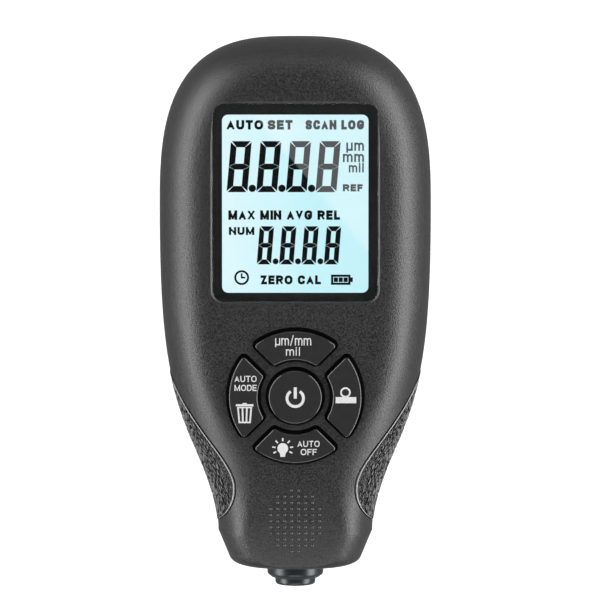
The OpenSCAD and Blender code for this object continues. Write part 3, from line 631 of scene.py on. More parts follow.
def coil(centre: Pair, start: float, end: float, radii: Pair, wire: float, turns: int) -> Solid:
    """Round wire along a helix about an axis along the body, whose radius runs from one value to another.

    Args:
        centre: Place of the axis across and up.
        start: Station of the first end.
        end: Station of the last end.
        radii: Radius of the helix at each end.
        wire: Radius of the wire.
        turns: Number of turns.

    Returns:
        The closed wire.
    """
    t = np.linspace(0, 1, turns * 40 + 1)[:, None]
    b = np.linspace(0, 2 * np.pi, 12, endpoint=False)[None, :]
    a = 2 * np.pi * turns * t
    run = math.copysign(1, end - start)
    out = radii[0] + (radii[1] - radii[0]) * t + wire * np.cos(b)
    along = start + run * wire + (end - start - 2 * run * wire) * t + wire * np.sin(b)
    return tube(np.stack([centre[0] + out * np.cos(a), along, centre[1] + out * np.sin(a)], -1))


def rounded_rectangle(width: float, length: float, radius: float, y: float, steps: int = 12) -> Array:
    """Plan loop of a rectangle with quarter-round corners, centred across the body.

    Args:
        width: Size across.
        length: Size along.
        radius: Corner radius.
        y: Station of the centre.
        steps: Points of each corner.

    Returns:
        Points round the loop.
    """
    quarter = np.linspace(0, np.pi / 2, steps)
    a = np.concatenate([quarter + k * np.pi / 2 for k in range(4)])
    sign = np.repeat([[1, 1], [-1, 1], [-1, -1], [1, -1]], steps, 0)
    middle = sign * (width / 2 - radius, length / 2 - radius) + (0, y)
    return middle + radius * np.stack([np.cos(a), np.sin(a)], -1)


# Blender objects


def carved(base: Mesh, *steps: tuple[Cut, Mesh]) -> Mesh:
    """Work tool solids into a base solid, one after another.

    Args:
        base: Mesh that is changed.
        steps: What each tool does, and its mesh.

    Returns:
        A new mesh.
    """
    scene = bpy.context.scene.collection
    body = bpy.data.objects.new("work", base)
    scene.objects.link(body)
    tools = []
    for cut, mesh in steps:
        tool = bpy.data.objects.new("tool", mesh)
        scene.objects.link(tool)
        tools.append(tool)
        change = body.modifiers.new("cut", "BOOLEAN")
        change.operation, change.solver, change.object = cut.value, "EXACT", tool
    view = bpy.context.evaluated_depsgraph_get()
    made = bpy.data.meshes.new_from_object(body.evaluated_get(view))
    for thing in [body, *tools]:
        bpy.data.objects.remove(thing)
    return made


def place(
    name: str,
    mesh: Mesh,
    finish: Finish,
    body: str,
    stands_for: tuple[str, ...] = (),
    slot: str | None = None,
    crease: float = 30.0,
) -> Thing:
    """Put a finished mesh into the scene as a piece that rides on a body.

    Args:
        name: Name of the piece.
        mesh: Its mesh, in place.
        finish: Its finish.
        body: Body that carries it.
        stands_for: CAD nodes that it takes the place of.
        slot: Slot of the record that its finish answers to; not used.
        crease: Angle above which an edge shows as an edge.

    Returns:
        The new object.
    """
    mesh.name = name
    mesh.materials.clear()
    mesh.materials.append(finish.material())
    mesh.shade_smooth()
    mesh.set_sharp_from_angle(angle=math.radians(crease))
    made = bpy.data.objects.new(name, mesh)
    bpy.context.scene.collection.objects.link(made)
    weights = made.modifiers.new("even_normals", "WEIGHTED_NORMAL")
    weights.keep_sharp = True
    weights.weight = LARGE_FACE_PULL
    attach(made, body)
    if stands_for:
        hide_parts(*stands_for)
    LOG.info("%s: %d faces on %s", name, len(mesh.polygons), body)
    return made


def copied(node: Thing, width: float) -> Mesh:
    """Copy a plain CAD node, merge its triangles and round its edges.

    Args:
        node: The CAD node.
        width: Width of the rounding.

    Returns:
        The new mesh.
    """
    work = bmesh.new()
    work.from_mesh(node.data)
    level, turn = math.radians(LEVEL_TURN), math.radians(SHARP_TURN)
    bmesh.ops.remove_doubles(work, verts=work.verts, dist=COPY_WELD)
    bmesh.ops.dissolve_limit(work, angle_limit=level, verts=work.verts, edges=work.edges)
    sharp = [e for e in work.edges if len(e.link_faces) == 2 and e.calc_face_angle() > turn]
    bmesh.ops.bevel(
        work, geom=sharp, offset=width * MM, segments=3, profile=0.5, affect="EDGES", clamp_overlap=True
    )
    made = bpy.data.meshes.new(node.name)
    work.to_mesh(made)
    work.free()
    return made


# Plain letters as pen lines in a box one high: points across and up, "r" where a corner is rounded, "z" where
# the line closes, and a bar between lines. The number before them is the letter's width.
LETTERS = {
    "A": (0.76, "0,0 .5,1 1,0|.3,.28 .7,.28"),
    "C": (0.74, "1,.82 1,1r 0,1r 0,0r 1,0r 1,.18"),
    "D": (0.74, "0,0 .4,0 1,0r 1,1r .4,1 0,1 z"),
    "E": (0.64, "1,1 0,1 0,0 1,0|0,.52 .9,.52"),
    "F": (0.6, "1,1 0,1 0,0|0,.5 .85,.5"),
    "G": (0.78, "1,.82 1,1r 0,1r 0,0r 1,0r 1,.44 .66,.44"),
    "I": (0.2, ".5,0 .5,1"),
    "L": (0.6, "0,1 0,0 1,0"),
    "M": (0.88, "0,0 0,1|0,1 .5,.05|.5,.05 1,1|1,1 1,0"),
    "N": (0.76, "0,0 0,1|0,1 1,0|1,0 1,1"),
    "O": (0.82, "0,0r 1,0r 1,1r 0,1r z"),
    "R": (0.74, "0,0 0,1 .5,1 1,1r 1,.48r .5,.48 0,.48|.5,.48 1,0"),
    "S": (0.7, "1,.84 1,1r 0,1r 0,.54r 1,.46r 1,0r 0,0r 0,.16"),
    "T": (0.66, "0,1 1,1|.5,1 .5,0"),
    "U": (0.74, "0,1 0,.4 0,0r 1,0r 1,.4 1,1"),
    "V": (0.74, "0,1 .5,0 1,1"),
    "X": (0.74, "0,0 1,1|0,1 1,0"),
    "Z": (0.66, "0,1 1,1 0,0 1,0"),
    "i": (0.2, ".5,0 .5,.72|.5,.95 .5,1"),
    "l": (0.2, ".5,0 .5,1"),
    "m": (0.84, "0,0 0,.72|0,.4 0,.72r .5,.72r .5,.4 .5,0|.5,.4 .5,.72r 1,.72r 1,.4 1,0"),
    "µ": (0.56, "0,-.2 0,.72|0,.3 0,0r 1,0r 1,.3|1,0 1,.72"),
    "/": (0.4, "0,-.05 1,1.05"),
    " ": (0.26, ""),
}


LETTER_SPACE = 0.13  # between letters, in heights of a capital
STROKE_STEP = 0.002  # each stroke of a letter lies this much under the one before, so that none share a plane


def pen_line(text: str) -> tuple[Array, bool]:
    """Read one pen line of a letter, with its round corners drawn as quadratic curves.

    Args:
        text: The line as written in the table of letters.

    Returns:
        Its points, and whether it closes.
    """
    marks = text.split()
    closed = marks[-1] == "z"
    marks = marks[: len(marks) - closed]
    spots = np.array([[float(v) for v in mark.rstrip("r").split(",")] for mark in marks])
    soft = [mark.endswith("r") for mark in marks]
    t = np.linspace(0, 1, 8)[:, None]
    runs = []
    for k, here in enumerate(spots):
        if not soft[k]:
            runs.append(here[None])
            continue
        ends = [(k + step) % len(spots) for step in (-1, 1)]
        start, end = [here + (spots[e] - here) * (0.5 if soft[e] else 1.0) for e in ends]
        runs.append(start * (1 - t) ** 2 + 2 * here * t * (1 - t) + end * t**2)
    points = np.vstack(runs)
    apart = np.hypot(*(points - np.roll(points, 1, 0)).T) > 1e-6
    apart[0] |= not closed
    return points[apart], closed


def pen_stroke(line: Array, closed: bool, width: float) -> tuple[Array, Array]:
    """Both edges of a stroke along a pen line, mitred at its corners and squared off at its ends.

    Args:
        line: Points of the pen line.
        closed: Whether it closes.
        width: Width of the stroke.

    Returns:
        The left and the right edge, cut off at the sides of the stroke's box.
    """
    steps = np.roll(line, -1, 0) - line if closed else np.diff(line, axis=0)
    steps = steps / np.linalg.norm(steps, axis=1, keepdims=True)
    before = np.roll(steps, 1, 0) if closed else np.vstack([steps[:1], steps])
    after = steps if closed else np.vstack([steps, steps[-1:]])
    across = np.stack([-before[:, 1] - after[:, 1], before[:, 0] + after[:, 0]], -1)
    across = across / np.linalg.norm(across, axis=1, keepdims=True)
    square = (across * np.stack([-before[:, 1], before[:, 0]], -1)).sum(1, keepdims=True)
    reach = across * width / 2 / square.clip(0.2)
    path = line.copy()
    if not closed:
        path[0] -= steps[0] * width / 2
        path[-1] += steps[-1] * width / 2
    low, high = line.min(0) - width / 2, line.max(0) + width / 2
    return (path + reach).clip(low, high), (path - reach).clip(low, high)


def lettering(words: str, x: Pair, y: Pair, z: Pair, weight: float) -> Solid:
    """Plain letters as thin plates, spread to fill a line.

    Args:
        words: The letters.
        x: Left and right end of the line.
        y: Foot and top of its capitals.
        z: Underside and top of the plates.
        weight: Width of the strokes, as a share of the capitals' height.

    Returns:
        The plates.
    """
    tall = y[1] - y[0]
    pen = weight * tall
    spread = (x[1] - x[0]) / (sum(LETTERS[c][0] for c in words) + LETTER_SPACE * (len(words) - 1))
    at, made = x[0], []
    for letter in words:
        width, text = LETTERS[letter]
        for k, part in enumerate(text.split("|") if text else []):
            line, closed = pen_line(part)
            size = (max(width * spread - pen, 0.0), tall - pen)
            left, right = pen_stroke(line * size + (at + pen / 2, y[0] + pen / 2), closed, pen)
            made.append(slab(left, right, z[0], z[1] - STROKE_STEP * k, closed))
        at += (width + LETTER_SPACE) * spread
    return Solid.joined(*made)


# The gauge


@dataclass(frozen=True)
class Fineness:
    """Steps along each stretch of the outline, up the shoulder and across the flat."""

    head: int
    side: int
    foot: int
    bevel: int
    bow: int
    roll: int
    across: int


FINE = Fineness(72, 80, 34, 10, 24, 26, 36)
ROUGH = Fineness(20, 16, 8, 2, 8, 7, 1)
CLOSE = Fineness(72, 400, 200, 10, 24, 26, 36)


def cubic(a: Array, b: Array, c: Array, d: Array, steps: int) -> Array:
    """Points of a cubic curve with two handles, without its first point."""
    t = np.linspace(0, 1, steps + 1)[1:, None]
    return a * (1 - t) ** 3 + 3 * b * t * (1 - t) ** 2 + 3 * c * t**2 * (1 - t) + d * t**3


@dataclass(frozen=True)
class BodyForm:
    """The body's plan outline and the rolled shoulders that rise from it to the face and the back."""

    head_w: float = 53.0
    head_len: float = 33.65
    head_power: float = 2.9
    waist_w: float = 39.8
    waist_lean: float = 0.44
    foot_w: float = 30.2
    heel_w: float = 25.8
    y_wide: float = 20.225
    y_waist: float = -26.075
    y_foot: float = -42.875
    y_heel: float = -48.175
    y_base: float = -50.3
    y_fall: float = -29.775
    body_t: float = 26.0
    part_z: float = 13.0
    part_gap: float = 0.1
    face_fall: float = 2.6
    back_rise: float = 4.0
    shoulder_power: float = 2.2
    hip_pull: float = 24.0
    waist_pull: float = 12.0
    calf_pull: float = 8.0
    foot_pull: float = 4.0
    heel_pull: float = 1.6
    bow_spread: float = 0.72
    wall: float = 2.0
    grip_t: float = 1.5
    grip_start: Pair = (26.4, -4.075)
    grip_broad: Pair = (11.6, -33.575)
    grip_end: Pair = (15.7, -41.175)
    grip_lean: float = 1.8
    grip_pull: float = 0.51
    broad_pull: float = 0.23
    grip_clear: float = 0.1
    face_inset: float = 10.0
    back_inset: float = 9.0
    waist_inset: float = 10.0
    foot_inset: float = 6.4
    end_inset: float = 1.2
    corner_reach: float = 0.6
    corner_pull: float = 0.7
    core_lap: float = 0.5
    dip: float = 0.45
    dip_w: float = 5.5

    def half(self, insets: Array, fine: Fineness) -> Array:
        """Right half of the outline: a superellipse round the head, cubic curves down the side, a straight
        bevel and a bowed end. The insets draw the head, waist, foot, bevel and end inwards.

        Args:
            insets: The five insets.
            fine: Steps of each stretch.

        Returns:
            Plan points from the top round to the middle of the end.
        """
        half_w, dome = self.head_w / 2 - insets[0], self.head_len - insets[0]
        hip = np.array([half_w, self.y_wide])
        waist = np.array([self.waist_w / 2 - insets[1], self.y_waist])
        foot = np.array([self.foot_w / 2 - insets[2], self.y_foot])
        heel = np.array([self.heel_w / 2 - insets[3], self.y_heel + insets[4]])
        base = np.array([0, self.y_base + insets[4]])
        lean = np.array([self.waist_lean, 1])
        heel_lean = np.array([(self.foot_w - self.heel_w) / 2 / (self.y_foot - self.y_heel), 1])
        down = np.array([0, 1])
        q = np.linspace(0, np.pi / 2, fine.head + 1)
        power = 2 / self.head_power
        head = np.stack([half_w * np.sin(q) ** power, self.y_wide + dome * np.cos(q).clip(0) ** power], -1)
        spread = np.array([heel[0] * self.bow_spread, base[1]])
        return np.vstack(
            [
                head,
                cubic(hip, hip - self.hip_pull * down, waist + self.waist_pull * lean, waist, fine.side),
                cubic(waist, waist - self.calf_pull * lean, foot + self.foot_pull * down, foot, fine.foot),
                foot + (heel - foot) * np.linspace(0, 1, fine.bevel + 1)[1:, None],
                cubic(heel, heel - self.heel_pull * heel_lean, spread, base, fine.bow),
            ]
        )

    def loop(self, insets: Array, fine: Fineness) -> Array:
        """Whole outline: the right half and its mirror image."""
        right = self.half(insets, fine)
        return np.vstack([right, right[-2:0:-1] * (-1, 1)])

    def softened(self, loop: Array, fine: Fineness) -> Array:
        """Loop whose corners at the foot are rounded by averaging each point there with its neighbours."""
        foot = fine.head + fine.side + fine.foot
        k = np.arange(len(loop))
        near = np.minimum(np.abs(k - foot), np.abs(len(loop) - k - foot))
        share = (1 - near / (self.corner_reach * fine.foot)).clip(0, 1)[:, None] * self.corner_pull
        for _ in range(2 * fine.foot):
            between = (np.roll(loop, 1, 0) + np.roll(loop, -1, 0)) / 2
            loop = loop + share * (between - loop)
        return loop

    def level(self, side: Side, y: Array, sink: float = 0.0) -> Array:
        """Height of the face or back, which close in on each other as the square of the way to the end."""
        way = ((self.y_fall - y) / (self.y_fall - self.y_base)).clip(0, 1) ** 2
        if side is Side.FRONT:
            return self.body_t - self.face_fall * way - sink
        return self.back_rise * way + sink

    def flats(self, side: Side) -> Array:
        """Insets of the flat face or back."""
        head = self.face_inset if side is Side.FRONT else self.back_inset
        return np.array([head, self.waist_inset, self.foot_inset, self.foot_inset, self.end_inset])

    def grip_edge(self, clear: float = 0.0, steps: int = 90) -> Array:
        """Plan curve of the right grip's edge: in to its broadest part and out again, by two cubic curves.

        Args:
            clear: Clearance by which the curve is moved outwards from the grip.
            steps: Steps of each curve.

        Returns:
            Plan points from the upper end to the lower.
        """
        start = np.array(self.grip_start) + (0, clear)
        broad = np.array(self.grip_broad) - (clear, 0)
        end = np.array(self.grip_end) - (0, clear)
        drop, rise = start[1] - broad[1], broad[1] - end[1]
        out, into = start - (self.grip_lean, self.grip_pull * drop), broad + (0, self.broad_pull * drop)
        upper = cubic(start, out, into, broad, steps)
        out, into = broad - (0, self.grip_pull * rise), end + (-self.grip_lean, self.broad_pull * rise)
        lower = cubic(broad, out, into, end, steps)
        return np.vstack([start, upper, lower])

    def roll_off(self, plan: Array) -> Array:
        """Depth by which the skin rolls off beside a grip: a smooth step by the distance from its edge."""
        edge = self.grip_edge()[::4]
        spots = plan.reshape(-1, 2)
        flat = np.abs(spots) * (1, 0) + spots * (0, 1)
        away = np.sqrt(((flat[:, None, :] - edge[None]) ** 2).sum(-1)).min(1).reshape(plan.shape[:-1])
        t = (1 - away / self.dip_w).clip(0, 1)
        return self.dip * t * t * (3 - 2 * t)

    def dome(
        self,
        side: Side,
        insets: Array,
        flats: Array,
        start: float,
        sink: float,
        fine: Fineness,
        edge: float = 0.0,
    ) -> Solid:
        """Solid from a level cut up or down to the face or back: rings of a superelliptic shoulder, with a
        rounded rim of a given radius at the cut when it is an outer skin, and a cap across the flat.

        Args:
            side: Face or back.
            insets: Insets of the outline at the cut.
            flats: Insets of the flat.
            start: Height of the cut.
            sink: Distance of the flat below the face, or above the back.
            fine: Steps.
            edge: Radius of the rim, nought for an inner form.

        Returns:
            The closed solid.
        """
        outer, flat = self.loop(insets, fine), self.loop(flats, fine)
        if edge:
            flat = self.softened(flat, fine)
        power = 2 / self.shoulder_power
        first = math.asin((edge / (self.body_t / 2)) ** (1 / power))
        q = np.linspace(first, np.pi / 2, fine.roll + 1)[:, None]
        c, s = np.cos(q).clip(0) ** power, np.sin(q) ** power
        plan = flat + (outer - flat) * c[..., None]
        rings = lifted(plan, start + (self.level(side, plan[..., 1], sink) - start) * s)
        if edge:
            rims = []
            for a in np.linspace(0, np.pi / 2, 4)[:-1]:
                loop = self.loop(insets + edge * (1 - math.sin(a)), fine)
                rims.append(lifted(loop, start + side.value * edge * (1 - math.cos(a))))
            rings = np.concatenate([np.stack(rims), rings])
            rise = (rings[..., 2] - start) / (self.level(side, rings[..., 1], sink) - start)
            rolled = self.roll_off(rings[..., :2]) * np.sin(np.pi / 2 * rise.clip(0, 1))
            rings[..., 2] -= side.value * rolled
        count = len(self.half(flats, fine))
        bridges = []
        for ring, across in ((rings[-1], fine.across), (rings[0], 1)):  # the flat, then the cut
            t = np.linspace(1, -1, across + 1)
            half = ring[:count]
            spans = np.stack([half[:, :1] * t, np.repeat(half[:, 1:2], across + 1, 1)], -1)
            height = np.repeat(half[:, 2:3], across + 1, 1)
            if edge and across > 1:
                height = self.level(side, spans[..., 1], sink) - side.value * self.roll_off(spans)
            bridges.append(grid(lifted(spans, height)))
        return Solid.joined(grid(rings, wrap=True), *bridges)

    def shrunk(self, inset: float, fine: Fineness) -> list[Solid]:
        """Front and back halves of the whole body drawn in all round by an inset."""
        ins = np.full(5, inset)
        cuts = [(s, self.part_z - s.value * self.core_lap) for s in Side]
        return [self.dome(s, ins, self.flats(s) + ins, cut, inset, fine) for s, cut in cuts]

    def grip_recess(self, side: int) -> Mesh:
        """Tool for one grip's seat: the region outside its edge, less the body drawn in by its thickness."""
        edge = self.grip_edge(self.grip_clear) * (side, 1)
        outer = np.stack([np.full(len(edge), side * self.head_w), edge[:, 1]], -1)
        block = slab(edge, outer, -1.0, self.body_t + 1).mesh("seat")
        cores = [s.mesh("core") for s in self.shrunk(self.grip_t + self.grip_clear, ROUGH)]
        return carved(block, *[(Cut.TAKE, core) for core in cores])


LIP_SWEEP = 78.0  # degrees of the round at a well's mouth
LIP_FLARE = (2.6, 0.36)  # how far the tool then flares out and up, in radii of the round


def lipped(
    loop_at: Callable[[float], Array], face: float, depth: float, lip: float, side: Side = Side.FRONT
) -> Array:
    """Rings of the tool for a well whose mouth is rounded: the loop grows along a circle almost up to the
    face, then flares at a shallow slope so that it leaves the face cleanly.

    Args:
        loop_at: Gives the plan loop for an inset.
        face: Height of the face.
        depth: Depth of the well.
        lip: Radius of the mouth.
        side: Face or back.

    Returns:
        The rings, from the bottom of the well outwards.
    """
    b = np.linspace(0, math.radians(LIP_SWEEP), 10)
    out = np.concatenate([[0.0], lip * (1 - np.cos(b)), [LIP_FLARE[0] * lip]])
    up = np.concatenate([[-depth], lip * (np.sin(b) - 1), [LIP_FLARE[1] * lip]])
    return np.stack([lifted(loop_at(-o), face + side.value * u) for o, u in zip(out, up)])


@dataclass
class Keypad:
    """Round power key and a ring of four keys about it, with their printed marks."""

    y: float = -15.475
    face: float = 26.0
    top: float = 26.755
    z_flange: float = 23.3
    flange_t: float = 0.8
    z_post: float = 21.304
    round_well_r: float = 5.6
    ring_in_r: float = 6.9
    ring_out_r: float = 13.3
    rib_w: float = 2.0
    corner: float = 1.0
    gap: float = 0.4
    bevel: float = 0.34
    lap: float = 0.45
    post_r: float = 2.0
    lip: float = 0.18
    layer: float = 0.003
    well_room: float = 0.09
    well_rise: float = 0.26
    mark_t: float = 0.03
    mark_sink: float = 0.005
    word_weight: float = 0.16
    turns: dict[str, float] = field(
        default_factory=lambda: {"units": 0, "delete": 90, "light": 180, "zero": 270}
    )

    def paths(self, inset: float) -> tuple[Array, Array]:
        """Outer and inner arc of a ring segment about +Y, with their rounded corners, drawn in by an inset.

        Args:
            inset: Distance that the outline is drawn in.

        Returns:
            The two edges from left to right, with as many points.
        """
        in_r, out_r = self.ring_in_r + inset, self.ring_out_r - inset
        corner = max(self.corner - inset, self.bevel)
        side = self.rib_w / 2 + inset + corner
        a_out = np.pi / 4 - math.asin(side / (out_r - corner))
        a_in = np.pi / 4 - math.asin(side / (in_r + corner))
        arc_t, turn_t = np.linspace(0, 1, 20), np.linspace(0, 1, 9)[1:]
        turn_out = a_out + (3 * np.pi / 4 - a_out) * turn_t
        turn_in = np.pi + a_in - (np.pi / 4 + a_in) * turn_t
        outer = np.vstack([ray(out_r, a_out * arc_t), ray(out_r - corner, a_out) + ray(corner, turn_out)])
        inner = np.vstack([ray(in_r, a_in * arc_t), ray(in_r + corner, a_in) + ray(corner, turn_in)])
        return tuple(np.vstack([(edge * (-1, 1))[:0:-1], edge]) for edge in (outer, inner))

    def segment(self, inset: float) -> Array:
        """Closed plan loop of a ring segment, drawn in by an inset."""
        outer, inner = self.paths(inset)
        return np.vstack([outer, inner[::-1]])

    def circle(self, inset: float) -> Array:
        """Closed plan loop of the round well, drawn in by an inset."""
        a = np.linspace(0, 2 * np.pi, 96, endpoint=False)
        return (self.round_well_r - inset) * np.stack([np.cos(a), np.sin(a)], -1)

    def capped(self, rings: Array) -> Solid:
        """Close a pile of segment loops with a ladder across each end."""
        half = rings.shape[1] // 2
        ends = [grid(np.stack([ring[:half], ring[half:][::-1]])) for ring in (rings[0], rings[-1])]
        return Solid.joined(grid(rings, wrap=True), *ends)

    def wells(self, depth: float) -> Solid:
        """Tools for the five wells, with rounded mouths."""
        ring = lipped(lambda inset: self.segment(inset - self.well_room), self.face, depth, self.lip)
        middle = tube(lipped(lambda inset: self.circle(inset - self.well_room), self.face, depth, self.lip))
        wells = [middle, *[self.capped(ring).turned(a) for a in self.turns.values()]]
        return Solid.joined(*wells).moved(y=self.y + self.well_rise)

    def rise(self) -> list[Pair]:
        """Inset and height of the rings of a key: flange, side, and a quarter-round top edge."""
        low, high, bevel = self.z_flange - self.flange_t, self.z_flange, self.bevel
        edge = [
            (self.gap + bevel * (1 - math.cos(b)), self.top - bevel * (1 - math.sin(b)))
            for b in np.linspace(0, np.pi / 2, 7)
        ]
        return [(-self.lap, low), (-self.lap, high), (self.gap, high), *edge]

    def ring_key(self, turn: float) -> Solid:
        """One key of the ring, with its post."""
        rings = np.stack([lifted(self.segment(i), z) for i, z in self.rise()])
        middle = (self.ring_in_r + self.ring_out_r) / 2
        post = disc((0, middle), self.post_r, self.z_post, self.z_flange - self.flange_t, 48)
        return Solid.joined(self.capped(rings), post).turned(turn).moved(y=self.y)

    def round_key(self) -> Solid:
        """The power key, with its post."""
        rings = np.stack([lifted(self.circle(i), z) for i, z in self.rise()])
        post = disc((0, 0), self.post_r, self.z_post, self.z_flange - self.flange_t, 48)
        return Solid.joined(tube(rings), post).moved(y=self.y)

    def power_mark(self, low: float, high: float) -> Solid:
        """Open ring and a stroke."""
        centre, ring_r, ring_w, opening = (0, -0.15), 1.6, 0.54, 33
        top, foot, stroke_w = (0, 2.0), (0, -0.2), 0.6
        ring = arc(centre, ring_r, ring_w, low, high, gap=opening)
        return Solid.joined(ring, bar(top, foot, stroke_w, low, high))

    def units_mark(self, low: float, high: float) -> Solid:
        """Two lines of unit symbols."""
        return Solid.joined(
            lettering("µm/mm", (-3.9, 3.1), (10.2, 12.1), (low, high), 0.105),
            lettering("mil", (-1.8, 1.0), (8.2, 9.85), (low, high), 0.115),
        )

    def delete_mark(self, low: float, high: float) -> Solid:
        """Two plain words above a bin: a lid with a knob, and a tapered body of upright bars."""
        x, top, foot, taper, bar_w = -9.83, -1.85, -4.85, 0.8, 0.32
        under = high - self.layer
        spans = [  # half-length, place, width and height of the lid, its knob, the rim and the bottom
            (1.7, -1.5, 0.42, high),
            (0.42, -1.18, 0.26, high),
            (1.48, top - 0.1, 0.24, under),
            (1.2, foot, 0.3, under),
        ]
        level = [bar((x - half, y), (x + half, y), width, low, z) for half, y, width, z in spans]
        aside = (-1.3, -0.43, 0.43, 1.3)
        upright = [bar((x + k, top), (x + taper * k, foot), bar_w, low, high) for k in aside]
        return Solid.joined(
            lettering("AUTO", (-11.8, -7.5), (3.05, 4.25), (low, high), self.word_weight),
            lettering("MODE", (-11.8, -7.5), (1.3, 2.5), (low, high), self.word_weight),
            *level,
            *upright,
        )

    def light_mark(self, low: float, high: float) -> Solid:
        """A bulb with rays, and two plain words beside it."""
        centre, glass_r = np.array([-2.43, -9.95]), 1.05
        ray_in, ray_out, ray_w = 1.42, 2.05, 0.28
        bulb = ray(glass_r, np.pi * np.linspace(0.06, 1, 40) * 0.8)
        half = np.vstack([bulb, [(0.5, -1.25), (0.46, -1.65)]])  # the glass, then the cap
        rays = [
            bar(ray(ray_in, a) + centre, ray(ray_out, a) + centre, ray_w, low, high)
            for a in np.radians([0, -42, 42, -82, 82, -116, 116])
        ]
        return Solid.joined(
            slab(half * (-1, 1) + centre, half + centre, low, high),
            *rays,
            lettering("AUTO", (0.4, 4.75), (-9.65, -8.45), (low, high), self.word_weight),
            lettering("OFF", (1.05, 4.2), (-11.25, -10.05), (low, high), self.word_weight),
        )

    def zero_mark(self, low: float, high: float) -> Solid:
        """A ring that stands on a thick bar."""
        centre, ring_r, ring_w = (9.76, 1.0), 0.86, 0.32
        left, right, base_w = (7.85, -0.5), (11.85, -0.5), 1.2
        ring = arc(centre, ring_r, ring_w, low, high - self.layer)
        return Solid.joined(ring, bar(left, right, base_w, low, high))

    def build(self) -> None:
        """Make the keys and their marks."""
        low, high = self.top - self.mark_sink, self.top + self.mark_t
        place("power_key_cap", self.round_key().mesh("key"), KEY, "power_button", ("power_key",), "key")
        for name, turn in self.turns.items():
            piece = self.ring_key(turn).mesh("key")
            place(f"{name}_key_cap", piece, KEY, f"{name}_button", (f"{name}_key",), "key")
        marks = {
            "power": self.power_mark,
            "units": self.units_mark,
            "delete": self.delete_mark,
            "light": self.light_mark,
            "zero": self.zero_mark,
        }
        for name, mark in marks.items():
            piece = mark(low, high).moved(y=self.y).mesh("mark")
            place(f"{name}_key_mark", piece, LEGEND, f"{name}_button")


@dataclass(frozen=True)
class Figures:
    """A row of seven-segment figures: how many, the place and spacing of each, its size, stroke and lean."""

    count: int
    x: float
    pitch: float
    low: float
    size: Pair
    stroke: float
    slant: float


